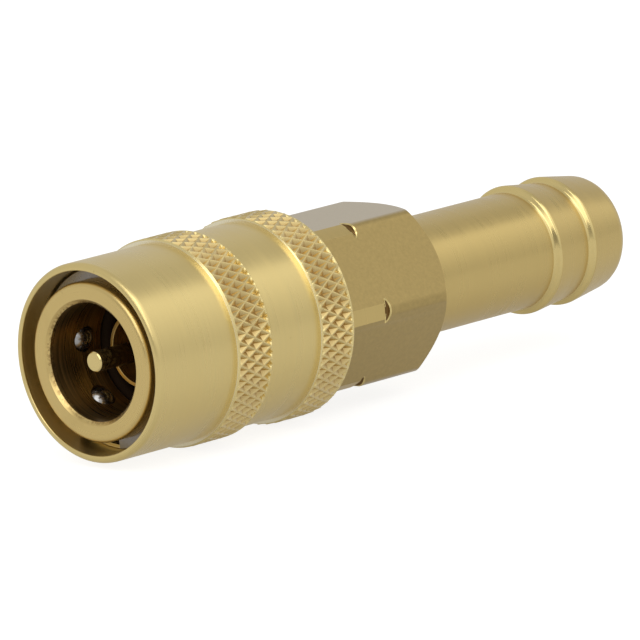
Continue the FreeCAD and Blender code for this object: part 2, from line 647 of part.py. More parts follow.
def main():
    doc = FreeCAD.newDocument("quick_coupling")
    sheet = make_sheet(doc)
    sleeve_spring_length = "(nose_length + rim_lead - spring_shoulder)"
    valve_spring_start = f"({HEAD_STATION} + head_thickness)"
    pieces = [
        make_rear_body(doc, sheet),
        make_socket_body(doc),
        make_retaining_ring(doc),
        make_valve_poppet(doc),
        make_body_seal(doc),
        make_o_ring(doc, "plug_seal", "plug_seal_cord", PLUG_SEAL_RADIUS,
                    f"{SEAL_GROOVE} + {SEAL_GROOVE_WIDTH} / 2"),
        make_o_ring(doc, "poppet_seal", "poppet_seal_cord", "crown_radius",
                    f"{SEAT_END} + seat_clearance + poppet_seal_cord / 2"),
        make_spring(doc, "sleeve_spring", "sleeve_wire", SLEEVE_SPRING_RADIUS, "sleeve_coils",
                    sleeve_spring_length, "spring_shoulder - rim_lead"),
        make_spring(doc, "valve_spring", "valve_wire", VALVE_SPRING_RADIUS, "valve_coils",
                    f"({FLOOR} - {valve_spring_start})", valve_spring_start),
    ]
    pieces += make_balls(doc, int(sheet.get("ball_count")))
    pieces.append(make_locking_sleeve(doc))
    doc.recompute()
    check_document(doc, pieces)
    os.makedirs("parts", exist_ok=True)
    for piece in pieces:
        piece.Shape.exportStep(f"parts/{piece.Label}.step")
        box = piece.Shape.BoundBox
        print(f"{piece.Label}: {piece.Shape.Volume:.2f} mm3, x {box.XMin:.2f} to {box.XMax:.2f}")


main()
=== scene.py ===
import math
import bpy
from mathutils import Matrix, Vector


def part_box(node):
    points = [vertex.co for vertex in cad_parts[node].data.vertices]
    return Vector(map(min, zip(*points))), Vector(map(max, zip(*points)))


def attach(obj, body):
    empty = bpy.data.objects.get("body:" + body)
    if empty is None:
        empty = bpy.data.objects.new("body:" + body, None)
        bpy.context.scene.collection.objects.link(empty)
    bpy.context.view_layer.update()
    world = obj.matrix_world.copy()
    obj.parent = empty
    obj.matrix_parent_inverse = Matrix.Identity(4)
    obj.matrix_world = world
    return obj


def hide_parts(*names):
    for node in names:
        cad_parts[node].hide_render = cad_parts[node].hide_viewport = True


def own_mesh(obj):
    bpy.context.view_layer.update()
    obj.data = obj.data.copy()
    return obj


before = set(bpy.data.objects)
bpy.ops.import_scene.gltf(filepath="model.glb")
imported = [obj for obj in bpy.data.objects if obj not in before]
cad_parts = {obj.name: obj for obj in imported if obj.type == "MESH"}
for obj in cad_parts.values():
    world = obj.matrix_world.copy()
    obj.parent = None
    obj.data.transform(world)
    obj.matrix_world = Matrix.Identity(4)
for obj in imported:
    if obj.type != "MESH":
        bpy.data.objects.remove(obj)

from types import SimpleNamespace

import bmesh
import bpy
from bpy.props import FloatProperty, FloatVectorProperty, IntProperty, PointerProperty
from bpy.types import Operator, Panel, PropertyGroup
from mathutils import Matrix, Vector

# Pneumatic quick coupling: a ball-lock socket with a knurled sleeve, a valve and a hose tail.
# The axis runs along +X from the mouth to the tail and +Z is up, as in the frame.
# Shapes are worked out in millimetres and become metres when a mesh is made.

bl_info = {
    "name": "Pneumatic quick coupling",
    "version": (1, 0, 0),
    "blender": (4, 5, 0),
    "location": "3D View > Sidebar > Coupling",
    "description": "Builds a ball-lock quick coupling with a knurled sleeve, a valve and a hose tail",
    "category": "Add Mesh",
}

MM = 0.001
TINY = 1e-6
PREFIX = "finish_"  # of the names of materials
NODES_PER_ROW, NODE_STEP = 14, (190, -260)  # places of nodes in a tree

# How finely meshes are divided
COLUMNS = 192  # round a turned surface
ARC_STEPS = 7  # round a rounded edge
CORD_STEPS = 40  # round a seal's cord
GROOVE_STEPS = 6  # down one wall of the groove in the hexagon's corners
FLAT_STEPS = (6, 6, 2, 8)  # from the middle of a flat to a corner, between the edges on the way
PIT_STEPS = 8  # from a pit of the knurl to the next crossing of ridges
SHARP_ANGLE = math.radians(15)

# Small lengths in millimetres, and shares
SUPPORT = 0.012  # flat kept beside a rounded edge
ARC_ROOM = 0.95  # share of a side that the arcs at its ends may take
WELD = 1e-5  # points closer than this become one
BALL_CLEARANCE = 0.035  # between a locking ball and its hole or the sleeve's ramp
RING_GROOVE = 0.35  # depth of the retaining ring's groove in the nose
RING_PLAY = 0.025  # between the retaining ring and the bottom of its groove
FRONT_LEAD = 0.15  # bevel at the front of the hexagon
LIP_RUN = 1.2  # length of the groove's lip along the axis, for its height

# Knurl
BEVEL_SLOPE = 0.8  # rise of the bevel at a band's end
PIT_SLOPE = 3.5  # how fast the pits deepen away from that bevel
PIT_START = 0.7  # share of the bevel at which they begin
WEAR_CELLS = (3.7, 1.9)  # spread the random wear along a band and round it
KNURL_MERGE = 1e-7  # points of a band closer than this become one, in metres

# Looks
NOISE_RANGE = (0.3, 0.7)  # where most values of a noise lie
# The grazing tint is a painted reflection
GRAZING_RANGE = (0.5, 0.82)  # low angles at which brass takes its grazing tint
BROAD_LINES = 0.13  # how many broad lathe lines there are for a fine one
WHITE = (1.0, 1.0, 1.0, 1.0)


def length(name, description, millimetres):
    """A size that a user may change, kept in metres."""
    return FloatProperty(name=name, description=description, default=millimetres * MM, unit="LENGTH",
                         precision=5, min=0.0)


def degrees(name, description, default):
    """An angle that a user may change, kept in radians."""
    return FloatProperty(name=name, description=description, default=math.radians(default), subtype="ANGLE")


def count(name, description, default, lowest, highest):
    return IntProperty(name=name, description=description, default=default, min=lowest, max=highest)


def colour(name, description, default):
    return FloatVectorProperty(name=name, description=description, default=default, subtype="COLOR",
                               size=3, min=0.0, max=1.0)


def share(name, description, default, highest=1.0):
    return FloatProperty(name=name, description=description, default=default, subtype="FACTOR",
                         min=0.0, max=highest)


def millimetres(group):
    """The sizes of a settings group, with lengths in millimetres."""
    values = {}
    for item in group.bl_rna.properties:
        if item.identifier in ("rna_type", "name"):
            continue
        value = getattr(group, item.identifier)
        values[item.identifier] = value / MM if getattr(item, "unit", "NONE") == "LENGTH" else value
    return SimpleNamespace(**values)


class BodySizes(PropertyGroup):
    """Rear body: hexagon and hose tail."""

    flats: length("Across flats", "Hexagon from flat to flat", 13.0)
    hexagon_length: length("Hexagon length", "Hexagon from its front to its rear face", 16.1)
    turned: length("Turned corners", "Radius to which the front of the hexagon's corners is turned", 7.16)
    groove: length("Corner groove", "Radius at the bottom of the groove in the hexagon's corners", 6.99)
    groove_station: length("Groove station", "Groove behind the hexagon's front face", 8.575)
    groove_width: length("Groove width", "Groove along the axis", 0.45)
    lip: length("Groove lip", "Height of the bright lip behind the groove", 0.09)
    bevel: length("Rear bevel", "Bevel at the rear of the hexagon, measured across", 1.06)
    corner: length("Corner rounding", "Rounded corners of the drawn hexagon", 0.9)
    tail: length("Tail radius", "Plain part of the hose tail", 4.74)
    bead: length("Bead height", "How far the hose beads stand out of the tail", 0.5)
    first_bead: length("First bead", "First hose bead behind the hexagon", 14.95)
    bead_spacing: length("Bead spacing", "From one hose bead to the next", 4.05)
    bore: length("Flow bore", "Radius of the passage through the tail", 3.0)
    socket: length("Screwed socket", "Radius of the hole that takes the socket body", 5.65)
    socket_depth: length("Socket depth", "Depth of the hole that takes the socket body", 7.5)


class SocketSizes(PropertyGroup):
    """Socket body: nose, plug bore, ball holes and valve seat."""

    bore: length("Plug bore", "Radius of the bore that takes the plug", 4.63)
    nose: length("Nose radius", "Outside of the nose", 6.25)
    rounding: length("Nose rounding", "Rounded front edge", 0.4)
    chamfer: length("Mouth chamfer", "Chamfer at the mouth of the bore", 0.3)
    thread: length("Screwed end", "Radius of the end that is screwed in", 5.6)
    chamber: length("Valve chamber", "Radius of the chamber behind the seat", 4.5)
    seat: length("Seat hole", "Radius of the hole in the valve seat", 3.03)
    ball: length("Ball diameter", "Locking balls", 2.381)
    ball_centre: length("Ball circle", "Radius on which the balls' middles lie", 5.37)
    ball_station: length("Ball station", "Balls behind the front face", 3.95)
    ball_count: count("Balls", "Locking balls round the bore", 6, 1, 12)
    clocking: degrees("Clocking", "Turn of the ball pattern about the axis", 8.2)


class SleeveSizes(PropertyGroup):
    """Locking sleeve and its knurled bands."""

    radius: length("Sleeve radius", "Smooth outside of the sleeve", 7.79)
    rim: length("Rim bore", "Radius of the recess in front", 7.2)
    skirt: length("Skirt bore", "Radius of the room for the spring", 7.28)
    guide: length("Guide bore", "Radius that runs on the nose", 6.31)
    rounding: length("Rim rounding", "Rounded outer edge of the rim", 0.42)
    inner_rounding: length("Inner rim rounding", "Rounded inner edge of the rim", 0.1)
    front_band: length("Front band", "Start of the front knurled band", 7.85)
    front_width: length("Front band width", "Front knurled band along the axis", 3.85)
    rear_band: length("Rear band", "Start of the rear knurled band", 17.1)
    rear_width: length("Rear band width", "Rear knurled band along the axis", 3.7)
    pits: count("Knurl pits", "Pits round a band", 54, 12, 120)
    angle: degrees("Knurl angle", "Ridges against the axis", 30)
    height: length("Knurl height", "How far the ridges stand out of the sleeve", 0.44)
    depth: length("Knurl depth", "Pits between the ridges", 0.36)
    flat: length("Ridge flat", "How much is missing at the tops of the ridges", 0.02)
    wear: length("Ridge wear", "How much more is worn off some of the ridges", 0.025)
    edge_bevel: length("Band bevel", "Bevel at the edges of the bands, along the axis", 0.22)
    seed: count("Seed", "Start of the random wear", 7, 0, 1000)


class ValveSizes(PropertyGroup):
    """Valve, seals, springs and retaining ring."""

    pin: length("Pin radius", "Valve pin", 0.8)
    crown: length("Crown radius", "Outside of the crown", 2.95)
    crown_wall: length("Crown wall", "Wall of the crown", 0.33)
    head: length("Head radius", "Valve head", 3.75)
    spigot: length("Spigot radius", "Spigot that centres the spring", 3.05)
    slots: count("Slots", "Flow slots in the crown", 4, 2, 8)
    slot_width: length("Slot width", "Flow slots across", 1.6)
    plug_cord: length("Plug seal cord", "Thickness of the plug seal", 1.5)
    poppet_cord: length("Poppet seal cord", "Thickness of the poppet seal", 0.9)
    sleeve_wire: length("Sleeve spring wire", "Wire of the sleeve spring", 0.9)
    sleeve_coils: count("Sleeve spring coils", "Open coils", 3, 2, 12)
    valve_wire: length("Valve spring wire", "Wire of the valve spring", 0.5)
    valve_coil: length("Valve spring radius", "Middle of the valve spring's wire from the axis", 3.45)
    valve_coils: count("Valve spring coils", "Open coils", 7, 2, 20)
    ring: length("Ring radius", "Outside of the retaining ring", 7.08)
    ring_gap: degrees("Ring gap", "Opening of the retaining ring", 34)
    ring_turn: degrees("Ring turn", "Middle of the retaining ring's opening", -78.8)


class Finish(PropertyGroup):
    """Colours and finishes."""

    brass: colour("Brass", "Clean brass of the sleeve", (0.84, 0.665, 0.285))
    knurl: colour("Knurl brass", "Ridges of the knurled bands", (0.90, 0.735, 0.34))
    # Painted highlight: a bright line on these walls
    wall: colour("Band wall", "Low walls at the ends of the knurled bands", (0.94, 0.86, 0.63))
    nose: colour("Nose brass", "Socket body", (0.78, 0.585, 0.235))
    bar: colour("Bar brass", "Turned surfaces of the rear body", (0.71, 0.535, 0.21))
    flats: colour("Flats", "Drawn flats of the hexagon", (0.52, 0.385, 0.15))
    # Painted reflection: brass turns to this tint at low angles
    grazing: colour("Grazing tint", "What brass turns to when seen at a low angle", (0.78, 0.735, 0.66))
    # Darker brass: painted shade in the bore and the knurl's pits, and the colour of tarnish patches and
    # dents on the flats
    darkening: colour("Bore", "Oily brass inside the bore", (0.50, 0.325, 0.12))
    # Painted shade deep in the crown and on the rear wall of the hexagon's groove
    deep: colour("Crown inside", "Sooty brass deep inside the crown", (0.20, 0.115, 0.04))
    # Also the valve's base, darker as painted shade deep in the bore
    tarnish: colour("Tarnish", "Brass where it has darkened, and the valve", (0.56, 0.40, 0.145))
    ball_steel: colour("Ball steel", "Polished locking balls", (0.46, 0.45, 0.44))
    ring_steel: colour("Ring steel", "Retaining ring", (0.34, 0.31, 0.285))
    spring_steel: colour("Spring steel", "Springs", (0.48, 0.48, 0.49))
    rubber: colour("Rubber", "Seals", (0.020, 0.012, 0.007))
    bloom: colour("Bloom", "Faint patches on the seals", (0.022, 0.017, 0.013))
    sheen: colour("Sheen", "Tint of reflections on the seals", (0.62, 0.42, 0.25))
    satin: share("Satin", "Roughness of the turned brass", 0.30)
    lines: share("Lathe lines", "How strongly the lathe lines show", 0.16)
    age: share("Age", "How much of the brass has darkened", 0.22)


class Stage(PropertyGroup):
    """Light, floor and camera."""

    key: share("Key light", "How much brighter than the room the soft light above is", 0.80, 4.0)
    fill: FloatProperty(name="Fill light", description="Power of the light at the left", default=0.9,
                        min=0.0, unit="POWER")
    surround: share("Surround", "Brightness of the room in reflections", 0.54)
    back: share("Back", "How much brighter than the room the wall behind is", 0.08)
    mouth: share("Mouth side", "Brightness of the room straight in front of the mouth", 0.30)
    floor: share("Floor", "Brightness of the floor in reflections", 0.385)
    # Painted shadow: the floor is darker right below the coupling in reflections
    floor_below: share("Floor below", "Brightness of the floor right below in reflections", 0.24)
    focal_length: FloatProperty(name="Focal length", description="Camera lens", default=478.125, min=20.0,
                                subtype="DISTANCE_CAMERA")


# Meshes


def ends(node):
    """Where a node of the frame begins and ends along the axis, in millimetres."""
    lowest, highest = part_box(node)
    return lowest.x / MM, highest.x / MM


def rounded(corners):
    """Points of a closed outline; a corner (x, r, rounding) becomes an arc with a short flat at each side."""
    points = []
    places = [Vector(corner[:2]) for corner in corners]
    sizes = [corner[2] if len(corner) > 2 else 0.0 for corner in corners]
    for i, (here, size) in enumerate(zip(places, sizes)):
        if not size:
            points.append(here)
            continue
        neighbours = (i - 1, (i + 1) % len(corners))
        before, after = (places[j] - here for j in neighbours)
        # Two arcs on one side share its length
        room = [ARC_ROOM * size / (size + sizes[j]) * (places[j] - here).length for j in neighbours]
        half = before.angle(after) / 2
        reach = min(size / math.tan(half), *room)
        radius = reach * math.tan(half)
        before.normalize()
        after.normalize()
        centre = here + (before + after).normalized() * (radius / math.sin(half))
        arm = here + before * reach - centre
        sweep = (math.pi - 2 * half) * (1 if before.cross(after) < 0 else -1)
        flat = min(SUPPORT, reach / 4)
        points.append(here + before * (reach + flat))
        for step in range(ARC_STEPS + 1):
            points.append(centre + Matrix.Rotation(sweep * step / ARC_STEPS, 2) @ arm)
        points.append(here + after * (reach + flat))
    return points


def add_face(bm, corners):
    """A face from corners of which some may be the same point."""
    loop = [v for i, v in enumerate(corners) if v is not corners[i - 1]]
    if len(set(loop)) >= 3:
        bm.faces.new(loop)


def skin(bm, rings, closed=True):
    """Faces between rings of points; the last ring joins the first one."""
    columns = len(rings[0]) if closed else len(rings[0]) - 1
    for i, ring in enumerate(rings):
        after = rings[(i + 1) % len(rings)]
        for j in range(columns):
            k = (j + 1) % len(ring)
            if ring[j] is after[j] and ring[k] is after[k]:
                continue
            add_face(bm, (ring[j], ring[k], after[k], after[j]))


def ring_of_points(bm, x, r, angles):
    """Points round the axis, or one point for all the angles on it."""
    if r < TINY:
        return [bm.verts.new((x, 0.0, 0.0))] * len(angles)
    return [bm.verts.new((x, r * math.cos(a), r * math.sin(a))) for a in angles]


def turned(bm, corners, start=0.0, sweep=2 * math.pi, columns=COLUMNS):
    """Turn an outline about the axis, all the way round or as an open arc with ends."""
    closed = sweep > 2 * math.pi - TINY
    angles = [start + sweep * i / columns for i in range(columns if closed else columns + 1)]
    rings = [ring_of_points(bm, p.x, p.y, angles) for p in rounded(corners)]
    skin(bm, rings, closed)
    if not closed:
        for end in (0, -1):
            bm.faces.new([ring[end] for ring in rings])


def to_object(bm, name):
    """A piece in the scene, in metres, with its faces outwards and its edges sharp by angle."""
    bmesh.ops.dissolve_degenerate(bm, edges=bm.edges, dist=WELD)
    bmesh.ops.recalc_face_normals(bm, faces=bm.faces)
    bmesh.ops.scale(bm, vec=(MM, MM, MM), verts=bm.verts)
    mesh = bpy.data.meshes.new(name)
    bm.to_mesh(mesh)
    bm.free()
    piece = bpy.data.objects.new(name, mesh)
    bpy.context.scene.collection.objects.link(piece)
    shade(piece)
    return piece


def shade(piece):
    """Smooth shading, apart from the sharp edges."""
    piece.data.polygons.foreach_set("use_smooth", [True] * len(piece.data.polygons))
    piece.data.set_sharp_from_angle(angle=SHARP_ANGLE)


def bake(piece):
    """Turn what a piece's modifiers make into its plain mesh."""
    graph = bpy.context.evaluated_depsgraph_get()
    mesh = bpy.data.meshes.new_from_object(piece.evaluated_get(graph))
    old = piece.data
    piece.modifiers.clear()
    piece.data = mesh
    mesh.name = piece.name
    bpy.data.meshes.remove(old)
    shade(piece)


def cut(piece, cutter):
    """Take one closed mesh away from another."""
    modifier = piece.modifiers.new("cut", "BOOLEAN")
    modifier.operation = "DIFFERENCE"
    modifier.solver = "EXACT"
    modifier.object = cutter
    bake(piece)
    mesh = cutter.data
    bpy.data.objects.remove(cutter)
    bpy.data.meshes.remove(mesh)


def finish_piece(piece, node, body, slot, *materials):
    """Give a piece its materials and make it stand for a node of the frame."""
    for name in materials:
        piece.data.materials.append(material(name))
    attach(piece, body)
    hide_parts(node)


# Node trees


class Graph:
    """Adds nodes to a tree; an input takes a socket, which is linked, or a value."""

    def __init__(self, tree):
        self.tree = tree

    def node(self, kind, inputs=None, **settings):
        made = self.tree.nodes.new(kind)
        row, column = divmod(len(self.tree.nodes), NODES_PER_ROW)
        made.location = (NODE_STEP[0] * column, NODE_STEP[1] * row)
        for name, value in settings.items():
            setattr(made, name, value)
        for key, value in (inputs or {}).items():
            self.give(made.inputs[key], value)
        return made

    def give(self, socket, value):
        if isinstance(value, bpy.types.NodeSocket):
            self.tree.links.new(value, socket)
        else:
            socket.default_value = value

    def math(self, operation, *values):
        return self.node("ShaderNodeMath", dict(enumerate(values)), operation=operation).outputs[0]

    def vector(self, operation, *values):
        return self.node("ShaderNodeVectorMath", dict(enumerate(values)), operation=operation).outputs[0]

    def combine(self, x, y, z):
        return self.node("ShaderNodeCombineXYZ", {0: x, 1: y, 2: z}).outputs[0]

    def separate(self, vector):
        return self.node("ShaderNodeSeparateXYZ", {0: vector}).outputs

    def off_axis(self, y, z):
        """Distance from the axis."""
        squares = [self.math("MULTIPLY", value, value) for value in (y, z)]
        return self.math("SQRT", self.math("ADD", *squares))

    def remap(self, value, low, high, new_low=0.0, new_high=1.0, kind="LINEAR"):
        inputs = {0: value, 1: low, 2: high, 3: new_low, 4: new_high}
        return self.node("ShaderNodeMapRange", inputs, interpolation_type=kind).outputs[0]

    def spread(self, noise, low, high):
        """A noise stretched so that it runs from low to high."""
        return self.remap(noise, *NOISE_RANGE, low, high)

    def mix(self, factor, first, second, blend="MIX"):
        inputs = {0: factor, 6: first, 7: second}
        return self.node("ShaderNodeMix", inputs, data_type="RGBA", blend_type=blend).outputs[2]

    def shaded(self, base, shading):
        """A colour times a value."""
        return self.mix(1.0, base, self.combine(shading, shading, shading), "MULTIPLY")

    def noise(self, vector, scale, detail=2.0, roughness=0.5, w=None):
        inputs = {"Vector": vector, "Scale": scale, "Detail": detail, "Roughness": roughness}
        if w is not None:
            inputs["W"] = w
        dimensions = "3D" if w is None else "4D"
        return self.node("ShaderNodeTexNoise", inputs, noise_dimensions=dimensions).outputs[0]

    def bump(self, height, strength, depth):
        """A normal from a height, with the depth of the marks in millimetres."""
        inputs = {"Strength": strength, "Distance": depth * MM, "Height": height}
        return self.node("ShaderNodeBump", inputs).outputs[0]


def new_tree(name, kind, inputs, outputs):
    """A node group with named sockets; inputs are (name, type, default)."""
    tree = bpy.data.node_groups.new(name, kind)
    for label, socket_type, default in inputs:
        socket = tree.interface.new_socket(label, in_out="INPUT", socket_type=f"NodeSocket{socket_type}")
        if default is not None:
            socket.default_value = default
    for label, socket_type in outputs:
        tree.interface.new_socket(label, in_out="OUTPUT", socket_type=f"NodeSocket{socket_type}")
    graph = Graph(tree)
    given = graph.node("NodeGroupInput").outputs
    result = graph.node("NodeGroupOutput").inputs
    return tree, graph, given, result


def run_tree(tree, name, values):
    """A piece made by a geometry tree from named inputs, as a plain mesh."""
    piece = bpy.data.objects.new(name, bpy.data.meshes.new(name))
    bpy.context.scene.collection.objects.link(piece)
    modifier = piece.modifiers.new(tree.name, "NODES")
    modifier.node_group = tree
    sockets = {item.name: item.identifier for item in tree.interface.items_tree if item.in_out == "INPUT"}
    for label, value in values.items():
        modifier[sockets[label]] = value
    bake(piece)
    return piece


def end_tree(graph, geometry, given, result):
    """Realise what the tree made and give it its material."""
    real = graph.node("GeometryNodeRealizeInstances", {0: geometry}).outputs[0]
    paint = {"Geometry": real, "Material": given["Material"]}
    painted = graph.node("GeometryNodeSetMaterial", paint).outputs[0]
    graph.tree.links.new(painted, result["Mesh"])


def knurl_tree():
    """A band of diamond pits between two sets of crossing ridges; the band's edges are bevelled."""
    inputs = [
        ("Start", "Float", 0.0), ("Width", "Float", 1.0), ("Base Radius", "Float", 1.0),
        ("Height", "Float", 0.1), ("Depth", "Float", 0.1), ("Root", "Float", 0.1), ("Bevel", "Float", 0.1),
        ("Pits", "Int", 54), ("Angle", "Float", 0.5), ("Flat", "Float", 0.0), ("Wear", "Float", 0.0),
        ("Seed", "Int", 0), ("Detail", "Int", 6), ("Material", "Material", None),
    ]
    tree, g, given, result = new_tree("knurled_band", "GeometryNodeTree", inputs, [("Mesh", "Geometry")])
    m = g.math
    crest = m("ADD", given["Base Radius"], given["Height"])
    half_pitch = m("DIVIDE", m("MULTIPLY", crest, math.pi), given["Pits"])
    row_step = m("DIVIDE", half_pitch, m("TANGENT", given["Angle"]))
    fine_step = m("DIVIDE", row_step, given["Detail"])
    rows = m("MULTIPLY", m("CEIL", m("DIVIDE", given["Width"], m("MULTIPLY", fine_step, 2.0))), 2.0)
    columns = m("MULTIPLY", m("MULTIPLY", given["Pits"], 2.0), given["Detail"])
    grid = g.node("GeometryNodeMeshGrid", {
        "Size X": 1.0, "Vertices X": m("ADD", columns, 1.0),
        "Size Y": 1.0, "Vertices Y": m("ADD", rows, 4.0),
    }).outputs[0]

    # Which column and row a point of the grid is in; the first and last rows make the hidden inner wall
    flat_x, flat_y, _ = g.separate(g.node("GeometryNodeInputPosition").outputs[0])
    column = m("ROUND", m("MULTIPLY", m("ADD", flat_x, 0.5), columns))
    row = m("ROUND", m("MULTIPLY", m("ADD", flat_y, 0.5), m("ADD", rows, 3.0)))
    outer_row = m("MINIMUM", m("MAXIMUM", m("SUBTRACT", row, 1.0), 0.0), rows)
    last_row = m("GREATER_THAN", row, m("ADD", rows, 2.5))
    inner = m("MAXIMUM", m("LESS_THAN", row, 0.5), m("GREATER_THAN", row, m("ADD", rows, 1.5)))
    wrapped = m("MULTIPLY", outer_row, m("SUBTRACT", 1.0, last_row))

    # Places along the axis and round it, counted in steps between a pit and the next crossing of ridges
    end = m("ADD", given["Start"], given["Width"])
    middle = m("ADD", given["Start"], m("MULTIPLY", given["Width"], 0.5))
    offset = m("MULTIPLY", m("SUBTRACT", wrapped, m("MULTIPLY", rows, 0.5)), fine_step)
    x = m("MINIMUM", m("MAXIMUM", m("ADD", middle, offset), given["Start"]), end)
    along = m("DIVIDE", m("SUBTRACT", x, middle), row_step)
    around = m("DIVIDE", column, given["Detail"])
    turn = m("DIVIDE", m("MULTIPLY", around, math.pi), given["Pits"])

    def drop(place):
        """0 on a ridge and 1 halfway between two."""
        return m("SUBTRACT", 1.0, m("ABSOLUTE", m("SUBTRACT", m("FLOORED_MODULO", place, 2.0), 1.0)))

    # Pits get shallower towards the bevels at the band's ends
    nearest_end = m("MINIMUM", m("SUBTRACT", x, given["Start"]), m("SUBTRACT", end, x))
    clear = m("SUBTRACT", nearest_end, m("MULTIPLY", given["Bevel"], PIT_START))
    deepest = m("MAXIMUM", m("MULTIPLY", clear, PIT_SLOPE), 0.0)
    pit = m("MINIMUM", drop(m("ADD", along, around)), drop(m("SUBTRACT", around, along)))
    radius = m("SUBTRACT", crest, m("MINIMUM", m("MULTIPLY", given["Depth"], pit), deepest))

    # Ridges are a little flat, and some are worn more than others
    cells = [m("MULTIPLY", m("ROUND", place), step) for place, step in zip((along, around), WEAR_CELLS)]
    spot = g.combine(*cells, given["Seed"])
    chance = g.node("ShaderNodeTexWhiteNoise", {"Vector": spot}, noise_dimensions="3D").outputs[0]
    worn = m("MULTIPLY", given["Wear"], m("MULTIPLY", chance, chance))
    tip = m("SUBTRACT", m("SUBTRACT", crest, given["Flat"]), worn)
    wall = m("SUBTRACT", given["Height"], m("MULTIPLY", given["Bevel"], BEVEL_SLOPE))
    bevelled = m("ADD", m("ADD", given["Base Radius"], wall), m("MULTIPLY", nearest_end, BEVEL_SLOPE))
    outside = m("MINIMUM", m("MINIMUM", radius, tip), bevelled)
    root = m("SUBTRACT", given["Base Radius"], given["Root"])
    chosen = m("ADD", m("MULTIPLY", root, inner), m("MULTIPLY", outside, m("SUBTRACT", 1.0, inner)))
    place = g.combine(x, m("MULTIPLY", chosen, m("COSINE", turn)), m("MULTIPLY", chosen, m("SINE", turn)))
    bent = g.node("GeometryNodeSetPosition", {"Geometry": grid, "Position": place}).outputs[0]
    split = g.node("GeometryNodeTriangulate", {0: bent}, quad_method="SHORTEST_DIAGONAL").outputs[0]
    joined = g.node("GeometryNodeMergeByDistance", {"Geometry": split, "Distance": KNURL_MERGE}).outputs[0]
    end_tree(g, joined, given, result)
    return tree


def coil_tree():
    """A compression spring whose end coils are closed and lie flat."""
    inputs = [
        ("Start", "Float", 0.0), ("Length", "Float", 1.0), ("Radius", "Float", 0.5), ("Wire", "Float", 0.1),
        ("Coils", "Int", 4), ("Closed Pitch", "Float", 1.1), ("Detail", "Int", 64),
        ("Material", "Material", None),
    ]
    tree, g, given, result = new_tree("coil_spring", "GeometryNodeTree", inputs, [("Mesh", "Geometry")])
    m = g.math
    turns = m("ADD", given["Coils"], 2.0)
    points = m("ADD", m("MULTIPLY", turns, given["Detail"]), 1.0)
    line = g.node("GeometryNodeCurvePrimitiveLine", {"End": (1.0, 0.0, 0.0)}).outputs[0]
    fine = g.node("GeometryNodeResampleCurve", {"Curve": line, "Count": points}).outputs[0]
    part = g.node("GeometryNodeSplineParameter").outputs["Factor"]
    half = m("MULTIPLY", m("MULTIPLY", part, turns), 2.0)
    closed = m("MULTIPLY", given["Wire"], given["Closed Pitch"])
    open_halves = m("MULTIPLY", given["Coils"], 2.0)
    open_rise = m("SUBTRACT", m("SUBTRACT", given["Length"], given["Wire"]), m("MULTIPLY", closed, 2.0))
    first = g.remap(half, 1.0, 2.0)
    between = g.remap(half, 2.0, m("ADD", open_halves, 2.0))
    last = g.remap(half, m("ADD", open_halves, 2.0), m("ADD", open_halves, 3.0))
    rise = m("ADD", m("MULTIPLY", m("ADD", first, last), closed), m("MULTIPLY", between, open_rise))
    x = m("ADD", m("ADD", given["Start"], m("MULTIPLY", given["Wire"], 0.5)), rise)
    turn = m("MULTIPLY", half, math.pi)
    y = m("MULTIPLY", given["Radius"], m("COSINE", turn))
    z = m("MULTIPLY", given["Radius"], m("SINE", turn))
    helix = g.node("GeometryNodeSetPosition", {"Geometry": fine, "Position": g.combine(x, y, z)}).outputs[0]
    section = g.node("GeometryNodeCurvePrimitiveCircle", {
        "Resolution": 16, "Radius": m("MULTIPLY", given["Wire"], 0.5),
    }).outputs[0]
    wire = g.node("GeometryNodeCurveToMesh", {
        "Curve": helix, "Profile Curve": section, "Fill Caps": True,
    }).outputs[0]
    end_tree(g, wire, given, result)
    return tree


# Shader groups and materials


def shader_group(name):
    """A shader group by name, made when it is first asked for."""
    return bpy.data.node_groups.get(name) or SHADER_GROUPS[name]()


def lathe_lines_group():
    """Lines that a lathe leaves: fine along the axis and across a face, long round the axis."""
    inputs = [("Vector", "Vector", None), ("Spacing", "Float", 0.25), ("Wander", "Float", 0.6)]
    outputs = [("Lines", "Float"), ("Sweep", "Float")]
    tree, g, given, result = new_tree("lathe_lines", "ShaderNodeTree", inputs, outputs)
    x, y, z = g.separate(given["Vector"])
    radius = g.off_axis(y, z)
    safe = g.math("MAXIMUM", radius, 1e-5)
    across = g.math("MULTIPLY", g.math("DIVIDE", y, safe), given["Wander"])
    upward = g.math("MULTIPLY", g.math("DIVIDE", z, safe), given["Wander"])
    per_metre = g.math("DIVIDE", 1.0 / MM, given["Spacing"])
    fine_x, fine_r = (g.math("MULTIPLY", value, per_metre) for value in (x, radius))
    broad_x, broad_r = (g.math("MULTIPLY", value, BROAD_LINES) for value in (fine_x, fine_r))
    fine = g.noise(g.combine(fine_x, across, upward), 1.0, 2.5, 0.65, w=fine_r)
    broad = g.noise(g.combine(broad_x, across, upward), 1.0, 1.0, 0.5, w=broad_r)
    g.tree.links.new(fine, result["Lines"])
    g.tree.links.new(broad, result["Sweep"])
    return tree


def tarnish_group():
    """Soft patches where the metal has darkened."""
    inputs = [("Vector", "Vector", None), ("Size", "Float", 4.0), ("Amount", "Float", 0.3)]
    tree, g, given, result = new_tree("tarnish", "ShaderNodeTree", inputs, [("Mask", "Float")])
    scale = g.math("DIVIDE", 1.0 / MM, given["Size"])
    patches = g.noise(given["Vector"], scale, 4.0, 0.6)
    low = g.math("SUBTRACT", 0.72, g.math("MULTIPLY", given["Amount"], 0.5))
    mask = g.remap(patches, low, g.math("ADD", low, 0.32), kind="SMOOTHSTEP")
    g.tree.links.new(mask, result["Mask"])
    return tree


